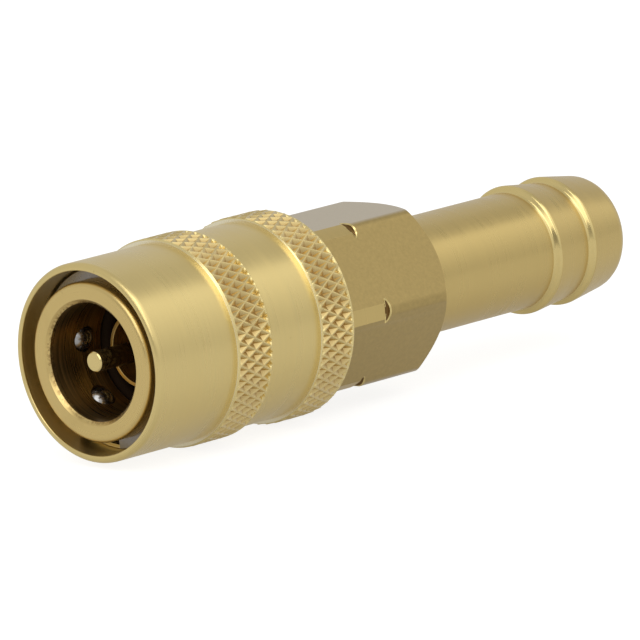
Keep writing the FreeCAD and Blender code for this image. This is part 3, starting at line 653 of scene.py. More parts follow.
def grain_group():
    """Fine grain of a drawn bar, stretched along the axis."""
    inputs = [("Vector", "Vector", None), ("Spacing", "Float", 0.12), ("Stretch", "Float", 6.0)]
    tree, g, given, result = new_tree("drawn_grain", "ShaderNodeTree", inputs, [("Grain", "Float")])
    x, y, z = g.separate(given["Vector"])
    per_metre = g.math("DIVIDE", 1.0 / MM, given["Spacing"])
    vector = g.combine(g.math("DIVIDE", x, given["Stretch"]), y, z)
    grain = g.noise(vector, per_metre, 3.0, 0.6)
    g.tree.links.new(grain, result["Grain"])
    return tree


def nicks_group():
    """Small sparse dents and specks."""
    inputs = [("Vector", "Vector", None), ("Spacing", "Float", 2.0), ("Size", "Float", 0.06)]
    tree, g, given, result = new_tree("nicks", "ShaderNodeTree", inputs, [("Mask", "Float")])
    scale = g.math("DIVIDE", 1.0 / MM, given["Spacing"])
    wobble = g.noise(given["Vector"], g.math("MULTIPLY", scale, 9.0), 1.0)
    uneven = g.math("MULTIPLY", g.math("SUBTRACT", wobble, 0.5), 0.08)
    cells = g.node("ShaderNodeTexVoronoi", {"Vector": given["Vector"], "Scale": scale}, feature="F1")
    near = g.remap(g.math("ADD", cells.outputs["Distance"], uneven), given["Size"], 0.0)
    some = g.math("GREATER_THAN", g.separate(cells.outputs["Color"])[0], 0.55)
    g.tree.links.new(g.math("MULTIPLY", near, some), result["Mask"])
    return tree


def painted_bore_shade_group():
    """How far a place is inside the bore, where painted shade darkens the brass."""
    inputs = [
        ("Vector", "Vector", None), ("Start", "Float", 0.2), ("End", "Float", 1.2), ("Radius", "Float", 5.0),
    ]
    tree, g, given, result = new_tree("painted_bore_shade", "ShaderNodeTree", inputs, [("Mask", "Float")])
    x, y, z = g.separate(given["Vector"])
    start, end, radius = (g.math("MULTIPLY", given[name], MM) for name in ("Start", "End", "Radius"))
    inside = g.math("LESS_THAN", g.off_axis(y, z), radius)
    mask = g.math("MULTIPLY", g.remap(x, start, end, kind="SMOOTHSTEP"), inside)
    g.tree.links.new(mask, result["Mask"])
    return tree


SHADER_GROUPS = {
    "painted_bore_shade": painted_bore_shade_group,
    "lathe_lines": lathe_lines_group,
    "tarnish": tarnish_group,
    "drawn_grain": grain_group,
    "nicks": nicks_group,
}


def new_material(name):
    """A material with an empty shader; the prefix keeps it apart from the frame's own materials."""
    made = bpy.data.materials.new(PREFIX + name)
    made.use_nodes = True
    made.node_tree.nodes.clear()
    g = Graph(made.node_tree)
    output = g.node("ShaderNodeOutputMaterial")
    shader = g.node("ShaderNodeBsdfPrincipled")
    g.tree.links.new(shader.outputs[0], output.inputs["Surface"])
    coordinates = g.node("ShaderNodeTexCoord").outputs["Object"]
    return made, g, shader, coordinates


def use_group(g, name, coordinates, **inputs):
    """The outputs of a shader group in a material; keyword names stand for socket names."""
    values = {key.title(): value for key, value in inputs.items()}
    return g.node("ShaderNodeGroup", values | {"Vector": coordinates}, node_tree=shader_group(name)).outputs


def set_inputs(g, shader, **inputs):
    """Set or link a shader's inputs; keyword names stand for socket names."""
    for key, value in inputs.items():
        g.give(shader.inputs[key.replace("_", " ").title()], value)


def rgba(value):
    return (*value, 1.0)


def around_axis(g, coordinates):
    """Direction round the coupling's axis at a place."""
    _, y, z = g.separate(coordinates)
    local = g.combine(0.0, g.math("MULTIPLY", z, -1.0), y)
    world = g.node("ShaderNodeVectorTransform", {0: local}, vector_type="VECTOR", convert_from="OBJECT",
                   convert_to="WORLD").outputs[0]
    return g.vector("NORMALIZE", world)


def with_painted_reflection(g, base, amount):
    """Painted reflection: a colour that turns to the grazing tint where the surface is seen at a low angle.
    """
    tint = bpy.context.scene.coupling_finish.grazing
    facing = g.node("ShaderNodeLayerWeight", {"Blend": 0.5}).outputs["Facing"]
    return g.mix(g.remap(facing, *GRAZING_RANGE, 0.0, amount), base, rgba(tint))


def turned_brass(name, base=None, spacing=0.25, polish=0.0, age=0.0, darkening=None, painted_shade_tone=None):
    """Brass with lathe lines; polish takes roughness away and age adds tarnish.

    The last two arguments place the painted shade in a bore and give its colour.
    """
    look = bpy.context.scene.coupling_finish
    made, g, shader, coordinates = new_material(name)
    lines, sweep = use_group(g, "lathe_lines", coordinates, spacing=spacing)
    patches = use_group(g, "tarnish", coordinates, amount=look.age + age)[0]
    dents = use_group(g, "nicks", coordinates)[0]
    shading = g.remap(lines, 0.25, 0.75, 1.0 - 0.30 * look.lines, 1.0)
    mixed_colour = g.mix(g.math("MULTIPLY", patches, 0.4), rgba(base or look.brass), rgba(look.tarnish))
    lined = g.shaded(mixed_colour, shading)
    # Dents, then a little painted reflection where the brass is seen at a low angle
    surface_colour = with_painted_reflection(g, g.mix(g.math("MULTIPLY", dents, 0.5), lined, rgba(look.tarnish)), 0.12)
    # Painted shade: inside the bore the brass goes over into a darker, streaked colour
    if darkening:
        painted_shade = use_group(g, "painted_bore_shade", coordinates, **darkening)[0]
        streaked_shade = g.shaded(rgba(painted_shade_tone), g.spread(lines, 0.55, 1.25))
        # Speckles where the clean brass goes over into the painted shade
        spots = use_group(g, "drawn_grain", coordinates, spacing=0.3, stretch=1.0)[0]
        halfway = g.math("SQRT", g.math("MULTIPLY", painted_shade, g.math("SUBTRACT", 1.0, painted_shade)))
        speckle = g.math("MULTIPLY", halfway, g.remap(spots, 0.42, 0.58, -0.6, 1.8))
        surface_colour = g.mix(g.math("ADD", painted_shade, speckle), surface_colour, streaked_shade)
    satin = g.spread(lines, look.satin - polish - 0.05, look.satin - polish + 0.07)
    satin = g.math("ADD", satin, g.math("MULTIPLY", g.math("SUBTRACT", sweep, 0.5), 0.10))
    waves = g.math("ADD", lines, g.math("MULTIPLY", sweep, 1.5))
    relief = g.math("SUBTRACT", waves, g.math("MULTIPLY", dents, 4.0))
    set_inputs(g, shader, base_color=surface_colour, metallic=1.0, roughness=satin,
               normal=g.bump(relief, 0.35 * look.lines, 0.012),
               anisotropic=0.55, anisotropic_rotation=0.25, tangent=around_axis(g, coordinates))
    return made


def drawn_brass():
    """Flats of the hexagon: drawn bar with a fine grain along the axis."""
    look = bpy.context.scene.coupling_finish
    made, g, shader, coordinates = new_material("drawn_brass")
    grain = use_group(g, "drawn_grain", coordinates, spacing=0.07, stretch=3.0)[0]
    mottle = use_group(g, "drawn_grain", coordinates, spacing=0.3, stretch=1.0)[0]
    patches = use_group(g, "tarnish", coordinates, size=3.0, amount=look.age)[0]
    dents = use_group(g, "nicks", coordinates, spacing=1.6)[0]
    shading = g.math("MULTIPLY", g.spread(grain, 0.93, 1.01), g.spread(mottle, 0.93, 1.05))
    mixed_colour = g.mix(g.math("MULTIPLY", patches, 0.25), rgba(look.flats), rgba(look.darkening))
    lined = g.shaded(mixed_colour, shading)
    # Dents, then painted reflection where the flats are seen at a low angle
    surface_colour = with_painted_reflection(g, g.mix(g.math("MULTIPLY", dents, 0.4), lined, rgba(look.darkening)), 0.6)
    satin = g.spread(grain, look.satin + 0.06, look.satin + 0.18)
    relief = g.math("SUBTRACT", grain, g.math("MULTIPLY", dents, 3.0))
    set_inputs(g, shader, base_color=surface_colour, metallic=1.0, roughness=satin, normal=g.bump(relief, 0.3, 0.010))
    return made


def knurl_bands(sleeve):
    """Name, start and width of each knurled band."""
    return (
        ("knurl_front", sleeve.front_band, sleeve.front_width),
        ("knurl_rear", sleeve.rear_band, sleeve.rear_width),
    )


def knurl_brass():
    """Knurled bands: painted shade darkens the pits below the ridges, and the low walls at the bands' ends
    get a painted highlight.
    """
    look = bpy.context.scene.coupling_finish
    sleeve = millimetres(bpy.context.scene.coupling_sleeve)
    made, g, shader, coordinates = new_material("knurl_brass")
    grain = use_group(g, "drawn_grain", coordinates, spacing=0.08, stretch=1.0)[0]
    x, y, z = g.separate(coordinates)
    top = (sleeve.radius + sleeve.height) * MM
    # Painted shade: darker towards the bottom of the pits
    deep = g.remap(g.off_axis(y, z), top - sleeve.depth * MM, top, 1.0, 0.0)
    painted_shade_tone = g.math("MULTIPLY", g.math("POWER", deep, 0.55), 0.9)

    # The bevels at the ends of the bands get no painted shade, and the low walls there get a painted
    # highlight
    shade_from, shade_to = ((sleeve.edge_bevel + more) * MM for more in (0.02, 0.17))
    highlight_from, highlight_to = 0.002 * MM, 0.03 * MM
    bright = 0.0
    for _, start, width in knurl_bands(sleeve):
        for end in (start, start + width):
            away = g.math("ABSOLUTE", g.math("SUBTRACT", x, end * MM))
            painted_shade_tone = g.math("MULTIPLY", painted_shade_tone, g.remap(away, shade_from, shade_to))
            bright = g.math("ADD", bright, g.remap(away, highlight_from, highlight_to, 1.0, 0.0))
    # Painted reflection where the knurl is seen at a low angle
    mixed_colour = with_painted_reflection(g, g.mix(painted_shade_tone, rgba(look.knurl), rgba(look.darkening)), 0.3)
    # Painted highlight: a bright line on the low walls at the bands' ends
    mixed_colour = g.mix(bright, mixed_colour, rgba(look.wall))
    satin = g.spread(grain, look.satin - 0.12, look.satin + 0.02)
    set_inputs(g, shader, base_color=mixed_colour, metallic=1.0, roughness=satin, normal=g.bump(grain, 0.2, 0.008))
    return made


def plain_steel(name, base, roughness, spacing):
    """Steel with fine marks all over."""
    made, g, shader, coordinates = new_material(name)
    grain = use_group(g, "drawn_grain", coordinates, spacing=spacing, stretch=1.0)[0]
    dents = use_group(g, "nicks", coordinates, spacing=1.2)[0]
    toned = g.shaded(rgba(base), g.spread(grain, 0.88, 1.0))
    rough = g.spread(grain, roughness * 0.7, roughness * 1.3)
    relief = g.math("SUBTRACT", grain, g.math("MULTIPLY", dents, 2.0))
    set_inputs(g, shader, base_color=toned, metallic=1.0, roughness=rough, normal=g.bump(relief, 0.12, 0.005))
    return made


def seal_rubber():
    """Dark rubber with a faint bloom."""
    look = bpy.context.scene.coupling_finish
    made, g, shader, coordinates = new_material("seal_rubber")
    grain = use_group(g, "drawn_grain", coordinates, spacing=0.10, stretch=1.0)[0]
    bloom = use_group(g, "tarnish", coordinates, size=1.5, amount=0.4)[0]
    toned = g.mix(g.math("MULTIPLY", bloom, 0.35), rgba(look.rubber), rgba(look.bloom))
    rough = g.spread(grain, 0.50, 0.70)
    set_inputs(g, shader, base_color=toned, roughness=rough, normal=g.bump(grain, 0.2, 0.010),
               specular_tint=rgba(look.sheen))
    shader.inputs["Specular IOR Level"].default_value = 0.12
    return made


def material(name):
    """A material by name, made when it is first asked for."""
    look = bpy.context.scene.coupling_finish
    # Where painted shade darkens the nose's mouth chamfer and bore, and deep in the valve's crown
    nose_painted_shade = {"start": 0.02, "end": 0.8, "radius": 4.95}
    crown_painted_shade = {"start": 0.3, "end": 3.0, "radius": 2.6}
    turned_finishes = {
        "sleeve_brass": {},
        "tail_brass": {"base": look.bar, "spacing": 0.30},
        # Smoother brass, lighter than the tail's: a painted highlight on the bead fronts, the groove's lip
        # and the valve's tip
        "polished_highlight_brass": {"base": look.brass, "spacing": 0.2, "polish": 0.14},
        # Painted shade on the rear wall of the hexagon's groove
        "painted_shade_brass": {"base": look.deep},
        # Painted shade darkens the nose's bore and its mouth chamfer
        "nose_brass": {"base": look.nose, "spacing": 0.16, "age": 0.1, "darkening": nose_painted_shade, "painted_shade_tone": look.darkening},
        # The valve's darker base and its darkening deep in the crown are painted shade
        "valve_brass": {"base": look.tarnish, "spacing": 0.14, "darkening": crown_painted_shade, "painted_shade_tone": look.deep},
    }
    steels = {
        "ball_steel": (look.ball_steel, 0.24, 0.2),
        "ring_steel": (look.ring_steel, 0.34, 0.1),
        "spring_steel": (look.spring_steel, 0.30, 0.1),
    }
    others = {"drawn_brass": drawn_brass, "knurl_brass": knurl_brass, "seal_rubber": seal_rubber}
    made = bpy.data.materials.get(PREFIX + name)
    if made:
        return made
    if name in turned_finishes:
        return turned_brass(name, **turned_finishes[name])
    if name in steels:
        return plain_steel(name, *steels[name])
    return others[name]()


# Pieces

HALF_FLAT = math.radians(30)  # half of the angle that one flat of the hexagon takes
TURNED, DRAWN, POLISHED_HIGHLIGHT, PAINTED_SHADE = range(4)  # finishes of the rear body's faces, in the order of its materials


class Hexagon:
    """Outside of a drawn bar with rounded corners; the middle of its first flat is at HALF_FLAT from +Y."""

    def __init__(self, flats, rounding):
        self.apothem = flats / 2
        self.sharp = self.apothem / math.cos(HALF_FLAT)
        self.rounding = rounding
        # A corner's arc: how far its middle and its top are from the axis, and where it leaves the flat
        self.middle = (self.apothem - rounding) / math.cos(HALF_FLAT)
        self.top = self.middle + rounding
        self.arc = HALF_FLAT - math.atan2(rounding / 2, self.middle + rounding * math.cos(HALF_FLAT))

    def radius(self, angle):
        """Distance of the outside from the axis."""
        off = abs(angle % (2 * HALF_FLAT) - HALF_FLAT)
        if off <= self.arc:
            return self.apothem / math.cos(off)
        aside = self.middle * math.sin(HALF_FLAT - off)
        return self.middle * math.cos(HALF_FLAT - off) + math.sqrt(self.rounding ** 2 - aside ** 2)

    def reached(self, radius):
        """Angle from the middle of a flat at which the outside is this far from the axis."""
        if radius <= self.apothem / math.cos(self.arc):
            return math.acos(self.apothem / radius)
        cosine = (radius ** 2 + self.middle ** 2 - self.rounding ** 2) / (2 * radius * self.middle)
        return HALF_FLAT - math.acos(min(cosine, 1.0))

    def angles(self, *radii):
        """Angles round the bar, with points on the edges where surfaces of these radii meet the flats."""
        marks = sorted([0.0, *map(self.reached, radii), self.arc, HALF_FLAT])
        offsets = []
        for low, high, steps in zip(marks, marks[1:], FLAT_STEPS):
            offsets += [low + (high - low) * i / steps for i in range(steps)]
        sector = sorted({round(s * o, 9) for o in offsets for s in (1, -1)} | {round(-HALF_FLAT, 9)})
        return [HALF_FLAT * (2 * k + 1) + o for k in range(6) for o in sector]


def hexagon_line(size, bar, angle, front):
    """Stations and radii along one line of the hexagon, from its front to its rear face."""
    rear = front + size.hexagon_length
    r = bar.radius(angle)
    low = min(size.turned, r)
    line = [(front, low - FRONT_LEAD), (front + FRONT_LEAD, low)]
    # Groove with a round floor: its front wall ends at the turned corner, its rear wall at a lip on the bar
    edge = min(size.lip, max(r - size.groove, 0.0) / 2)
    for side, top, start in ((-1, size.turned, low), (1, bar.top, r)):
        depth = top - size.groove
        shallow = math.asin(min((top - start) / depth, 1.0))
        wall = []
        for step in range(GROOVE_STEPS + 1):
            turn = shallow + (math.pi / 2 - shallow) * step / GROOVE_STEPS
            station = front + size.groove_station + side * size.groove_width / 2 * math.cos(turn)
            wall.append((station, min(top - depth * math.sin(turn), r)))
        line += wall if side < 0 else [(x, min(y, r - edge)) for x, y in wall[-2::-1]]
    line.append((line[-1][0] + edge * LIP_RUN, r))
    return line + [(rear - size.bevel + bar.sharp - r, r), (rear, bar.sharp - size.bevel)]


def tail_outline(size, front, end):
    """Outline from the hexagon's rear face over the beads to the end, and through the bore to the front."""
    rear = front + size.hexagon_length
    floor = front + size.socket_depth
    first = rear + size.first_bead
    second = first + size.bead_spacing
    on_rear_face = 5.9
    crest, valley, tip = size.tail + size.bead, size.tail + 0.06, size.tail - 0.19
    rise, land = 0.28, 0.22  # in front of a bead's crest and on it
    chamfer = 0.2  # at both ends of the passage
    return rounded([
        (rear, on_rear_face), (rear, size.tail, 0.12),
        (first - rise, size.tail, 0.3), (first, crest, 0.26), (first + land, crest, 0.05),
        (second - rise, valley, 0.3), (second, crest, 0.26), (second + land, crest, 0.05),
        (end, tip, 1.35), (end, size.bore + chamfer, 0.05), (end - chamfer, size.bore, 0.05),
        (floor, size.bore, 0.1), (floor, size.socket),
        (front + chamfer, size.socket), (front, size.socket + chamfer),
    ])


class COUPLING_OT_rear_body(Operator):
    """Make the hexagon and the hose tail, which are one piece of bar"""

    bl_idname = "coupling.rear_body"
    bl_label = "Rear body"

    def execute(self, context):
        size = millimetres(context.scene.coupling_body)
        front, end = ends("rear_body")
        bar = Hexagon(size.flats, size.corner)
        angles = bar.angles(size.groove, size.turned)
        lines = [hexagon_line(size, bar, a, front) for a in angles]
        bm = bmesh.new()
        rings = []
        for stations in zip(*lines):
            rings.append([
                bm.verts.new((x, r * math.cos(a), r * math.sin(a))) for (x, r), a in zip(stations, angles)
            ])
        rings += [ring_of_points(bm, p.x, p.y, angles) for p in tail_outline(size, front, end)]
        skin(bm, rings)
        bmesh.ops.remove_doubles(bm, verts=bm.verts, dist=WELD)
        bmesh.ops.dissolve_degenerate(bm, edges=bm.edges, dist=WELD)
        bm.normal_update()
        for face in bm.faces:
            face.material_index = self.finish_of(face, size, bar, front)
        finish_piece(to_object(bm, "rear_body_shell"), "rear_body", "socket", "brass_bar",
                     "tail_brass", "drawn_brass", "polished_highlight_brass", "painted_shade_brass")
        return {"FINISHED"}

    def finish_of(self, face, size, bar, front):
        """The drawn flats; smoother, lighter brass as a painted highlight on the groove and the bead fronts;
        painted shade on the groove's deep rear wall; or plain turned brass.
        """
        # Slopes of faces that count as level, as the groove's rear wall and as the front of a bead
        level, rear_wall, bead_front = 0.01, -0.2, -0.15
        under_lip = size.lip * 0.7
        groove = front + size.groove_station
        ahead_of_beads = 1.0
        beads = front + size.hexagon_length + size.first_bead - ahead_of_beads
        place = face.calc_center_median()
        off_axis = Vector((place.y, place.z)).length
        slope = face.normal.x
        around = math.atan2(face.normal.z, face.normal.y) % (2 * HALF_FLAT) - HALF_FLAT
        below = bar.radius(math.atan2(place.z, place.y)) - off_axis
        # Groove: painted shade on its deep rear wall, the lighter highlight brass on the rest
        if abs(place.x - groove) < size.groove_width / 2 + size.lip and abs(slope) > level:
            return PAINTED_SHADE if slope < rear_wall and below > under_lip else POLISHED_HIGHLIGHT
        on_bar = abs(slope) < level and off_axis > bar.apothem * 0.99
        if on_bar and (place.x > groove or abs(around) < level):
            return DRAWN
        # Bead fronts get the lighter highlight brass
        if place.x > beads and slope < bead_front and off_axis > size.tail:
            return POLISHED_HIGHLIGHT
        return TURNED


class COUPLING_OT_socket_body(Operator):
    """Make the nose with its bore, its grooves and the holes for the balls"""

    bl_idname = "coupling.socket_body"
    bl_label = "Socket body"

    def execute(self, context):
        size = millimetres(context.scene.coupling_socket)
        valve = millimetres(context.scene.coupling_valve)
        _, end = ends("socket_body")
        screwed_length = 6.7
        shoulder = end - screwed_length
        ring_front, ring_rear, ring_floor = 1.9, 2.55, size.nose - RING_GROOVE
        seal_stands_in = 0.58
        seal_front, seal_rear, seal_floor = 5.8, 7.6, size.bore - seal_stands_in + valve.plug_cord
        seat_front, seat_rear = 8.3, 9.4
        holes_front, holes_rear = 3.0, 4.9
        bm = bmesh.new()
        turned(bm, [
            (0.0, size.bore + size.chamfer, 0.05), (0.0, size.nose, size.rounding),
            (ring_front, size.nose, 0.04), (ring_front, ring_floor),
            (ring_rear, ring_floor), (ring_rear, size.nose, 0.04),
            (shoulder, size.nose, 0.05), (shoulder, size.thread), (end, size.thread, 0.15),
            (end, size.chamber, 0.05), (seat_rear, size.chamber, 0.1),
            (seat_rear, size.seat, 0.05), (seat_front, size.seat, 0.05), (seat_front, size.bore, 0.1),
            (seal_rear, size.bore, 0.06), (seal_rear, seal_floor, 0.1),
            (seal_front, seal_floor, 0.1), (seal_front, size.bore, 0.06),
            (holes_rear, size.bore), (holes_front, size.bore), (size.chamfer, size.bore, 0.05),
        ])
        piece = to_object(bm, "nose_body")

        # Each hole has a narrower end at the bore, so that its ball can't fall in
        lip_width = 0.17
        hole = size.ball / 2 + BALL_CLEARANCE
        lip = size.ball / 2 - lip_width
        floor = size.ball_centre - math.sqrt(hole ** 2 - lip ** 2)
        inner, outer = size.bore / 2, size.nose + size.ball
        along = Vector((1.0, 0.0, 0.0))
        bm = bmesh.new()
        for i in range(size.ball_count):
            angle = size.clocking + 2 * math.pi * i / size.ball_count
            before = set(bm.verts)
            turned(bm, [
                (inner, 0.0), (inner, lip), (floor, lip), (floor, hole), (outer, hole), (outer, 0.0),
            ], columns=72)
            outward = Vector((0.0, math.cos(angle), math.sin(angle)))
            frame_of_hole = Matrix((outward, along, outward.cross(along))).transposed()
            for vertex in set(bm.verts) - before:
                vertex.co = frame_of_hole @ vertex.co + along * size.ball_station
        cut(piece, to_object(bm, "ball_holes"))
        finish_piece(piece, "socket_body", "socket", "brass_socket", "nose_brass")
        return {"FINISHED"}


class COUPLING_OT_sleeve(Operator):
    """Make the locking sleeve and its two knurled bands"""

    bl_idname = "coupling.sleeve"
    bl_label = "Locking sleeve"

    def execute(self, context):
        size = millimetres(context.scene.coupling_sleeve)
        socket = millimetres(context.scene.coupling_socket)
        front, end = ends("locking_sleeve")
        shoulder = 2.6
        spring_shoulder = front + 8.0
        # Ramp that holds the balls in: it just clears them and runs into the guide bore
        ramp_angle = math.radians(11.5)
        slope = math.tan(ramp_angle)
        ramp = socket.ball_centre + (socket.ball / 2 + BALL_CLEARANCE) / math.cos(ramp_angle)
        ramp_front = ramp + (socket.ball_station - shoulder) * slope
        guide_front = socket.ball_station + (ramp - size.guide) / slope
        bm = bmesh.new()
        turned(bm, [
            (front, size.rim, size.inner_rounding), (front, size.radius, size.rounding),
            (end, size.radius, 0.05), (end, size.skirt, 0.08),
            (spring_shoulder, size.skirt, 0.1), (spring_shoulder, size.guide, 0.08),
            (guide_front, size.guide, 0.1), (shoulder, ramp_front, 0.05), (shoulder, size.rim, 0.1),
        ])
        piece = to_object(bm, "sleeve_shell")
        finish_piece(piece, "locking_sleeve", "sleeve", "brass_sleeve", "sleeve_brass")

        tree = knurl_tree()
        root = 0.2  # how far the bands reach into the sleeve
        for order, (name, start, width) in enumerate(knurl_bands(size)):
            band = run_tree(tree, name, {
                "Start": start * MM, "Width": width * MM, "Base Radius": size.radius * MM,
                "Height": size.height * MM, "Depth": size.depth * MM, "Root": root * MM,
                "Bevel": size.edge_bevel * MM, "Pits": size.pits, "Angle": size.angle,
                "Flat": size.flat * MM, "Wear": size.wear * MM, "Seed": size.seed + order,
                "Detail": PIT_STEPS, "Material": material("knurl_brass"),
            })
            finish_piece(band, "locking_sleeve", "sleeve", "brass_sleeve")
        return {"FINISHED"}


class COUPLING_OT_springs(Operator):
    """Make the sleeve spring and the valve spring"""

    bl_idname = "coupling.springs"
    bl_label = "Springs"

    def execute(self, context):
        size = millimetres(context.scene.coupling_valve)
        sleeve = millimetres(context.scene.coupling_sleeve)
        sleeve_coil = (sleeve.skirt + sleeve.guide) / 2
        sizes = {
            "sleeve_spring": (sleeve_coil, size.sleeve_wire, size.sleeve_coils),
            "valve_spring": (size.valve_coil, size.valve_wire, size.valve_coils),
        }
        # The body that a spring rides on, the joint that shortens it, and its end that stays with the body
        held = {
            "sleeve_spring": ("sleeve_carrier", "sleeve_slide", "front"),
            "valve_spring": ("socket", "valve_slide", "rear"),
        }
        tree = coil_tree()
        for node, (radius, wire, coils) in sizes.items():
            body, joint, fixed = held[node]
            lowest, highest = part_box(node)
            free = highest.x - lowest.x
            spring = run_tree(tree, f"{node}_coil", {
                "Start": lowest.x, "Length": free, "Radius": radius * MM, "Wire": wire * MM,
                "Coils": coils, "Material": material("spring_steel"),
            })
            finish_piece(spring, node, body, "spring_steel")
            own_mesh(spring)
        return {"FINISHED"}


class COUPLING_OT_balls(Operator):
    """Make the locking balls"""

    bl_idname = "coupling.balls"
    bl_label = "Locking balls"

    def execute(self, context):
        size = millimetres(context.scene.coupling_socket)
        for i in range(size.ball_count):
            lowest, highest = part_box(f"lock_ball_{i + 1}")
            place = Matrix.Translation((lowest + highest) / 2 / MM)
            bm = bmesh.new()
            bmesh.ops.create_icosphere(bm, subdivisions=5, radius=size.ball / 2, matrix=place)
            piece = to_object(bm, f"ball_{i + 1}_polished")
            finish_piece(piece, f"lock_ball_{i + 1}", f"ball_{i + 1}", "ball_steel", "ball_steel")
        return {"FINISHED"}


class COUPLING_OT_ring(Operator):
    """Make the split retaining ring in front of the sleeve's shoulder"""

    bl_idname = "coupling.ring"
    bl_label = "Retaining ring"

    def execute(self, context):
        size = millimetres(context.scene.coupling_valve)
        socket = millimetres(context.scene.coupling_socket)
        front, rear = ends("retaining_ring")
        inside = socket.nose - RING_GROOVE + RING_PLAY
        bm = bmesh.new()
        turned(bm, [
            (front, inside, 0.05), (front, size.ring, 0.08), (rear, size.ring, 0.08), (rear, inside, 0.05),
        ], start=size.ring_turn + size.ring_gap / 2, sweep=2 * math.pi - size.ring_gap, columns=176)
        finish_piece(to_object(bm, "ring_split"), "retaining_ring", "socket", "steel_ring", "ring_steel")
        return {"FINISHED"}


class COUPLING_OT_valve(Operator):
    """Make the valve: pin, slotted crown, head and spigot"""

    bl_idname = "coupling.valve"
    bl_label = "Valve"

    def execute(self, context):
        size = millimetres(context.scene.coupling_valve)
        tip, end = ends("valve_poppet")
        inside = size.crown - size.crown_wall
        bevel = 0.1  # at the tip of the pin, in two steps
        crown_front, crown_floor = 5.1, 9.2
        head_front, head_rear = end - 2.5, end - 1.3
        bm = bmesh.new()
        turned(bm, [
            (tip, 0.0), (tip + bevel, size.pin - bevel, 0.04), (tip + 2 * bevel, size.pin, 0.04),
            (crown_floor, size.pin, 0.2), (crown_floor, inside, 0.15),
            (crown_front, inside, 0.05), (crown_front, size.crown, 0.08),
            (head_front, size.crown), (head_front, size.head, 0.1),
            (head_rear, size.head, 0.1), (head_rear, size.spigot, 0.1),
            (end, size.spigot, 0.2), (end, 0.0),
        ], columns=144)
        piece = to_object(bm, "valve_turned")

        slot_depth = 2.6
        reach = (size.pin + inside) / 2
        place = Matrix.Translation((crown_floor - slot_depth / 2, 0.0, reach + size.crown / 2))
        slot = place @ Matrix.Diagonal((slot_depth, size.slot_width, size.crown, 1.0))
        bm = bmesh.new()
        for i in range(size.slots):
            turn = Matrix.Rotation(2 * math.pi * i / size.slots, 4, "X")
            bmesh.ops.create_cube(bm, size=1.0, matrix=turn @ slot)
        cut(piece, to_object(bm, "valve_slots"))
        # The tip gets smoother, lighter brass as a painted highlight; the rest keeps the valve's darker
        # brass, painted shade deep in the bore
        bright_end = (tip + 2.5 * bevel) * MM
        for face in piece.data.polygons:
            face.material_index = 1 if face.center.x < bright_end else 0
        finish_piece(piece, "valve_poppet", "valve", "brass_valve", "valve_brass", "polished_highlight_brass")
        return {"FINISHED"}


class COUPLING_OT_seals(Operator):
    """Make the plug seal, the poppet seal and the washer of the screwed joint"""

    bl_idname = "coupling.seals"
    bl_label = "Seals"

    def execute(self, context):
        size = millimetres(context.scene.coupling_valve)
        cords = (("plug_seal", "socket", size.plug_cord), ("poppet_seal", "valve", size.poppet_cord))
        for node, body, cord in cords:
            front, rear = ends(node)
            middle = (front + rear) / 2
            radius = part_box(node)[1].y / MM - cord / 2
            section = (math.radians(360 * i / CORD_STEPS) for i in range(CORD_STEPS))
            bm = bmesh.new()
            turned(bm, [
                (middle + cord / 2 * math.cos(a), radius + cord / 2 * math.sin(a)) for a in section
            ])
            finish_piece(to_object(bm, f"{node}_ring"), node, body, "seal_rubber", "seal_rubber")

        front, rear = ends("body_seal")
        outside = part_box("body_seal")[1].y / MM
        inside = outside - 0.9
        rounding = 0.08
        bm = bmesh.new()
        turned(bm, [
            (front, inside, rounding), (front, outside, rounding),
            (rear, outside, rounding), (rear, inside, rounding),
        ])
        finish_piece(to_object(bm, "body_seal_washer"), "body_seal", "socket", "seal_rubber", "seal_rubber")
        return {"FINISHED"}


# Stage


def add_floor(size):
    """Floor that is white to the camera apart from a faint shadow, and grey in reflections, darker right
    below the coupling as a painted shadow.
    """
    half_side, gap = 6000.0, 0.02
    seen_white, matt_grey = 0.84, (0.35, 0.35, 0.35)
    bm = bmesh.new()
    bmesh.ops.create_grid(bm, x_segments=1, y_segments=1, size=half_side)
    floor = to_object(bm, "floor")
    floor.location.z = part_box("locking_sleeve")[0].z - gap * MM
    made, g, shader, _ = new_material("floor_white")
    seen = g.node("ShaderNodeLightPath").outputs["Is Camera Ray"]
    steep = g.separate(g.node("ShaderNodeNewGeometry").outputs["Incoming"])[2]
    # In reflections the floor is darker right below the coupling: a painted shadow
    grey = g.remap(steep, 0.4, 1.0, size.floor, size.floor_below)
    bright = g.remap(seen, 0.0, 1.0, grey, seen_white)
    glow = g.node("ShaderNodeEmission", {"Color": WHITE, "Strength": bright}).outputs[0]
    matt = g.node("ShaderNodeBsdfDiffuse", {"Color": rgba(matt_grey)}).outputs[0]
    both = g.node("ShaderNodeAddShader", {0: glow, 1: matt}).outputs[0]
    output = next(n for n in g.tree.nodes if n.type == "OUTPUT_MATERIAL")
    g.tree.links.new(both, output.inputs["Surface"])
    g.tree.nodes.remove(shader)
    floor.data.materials.append(made)


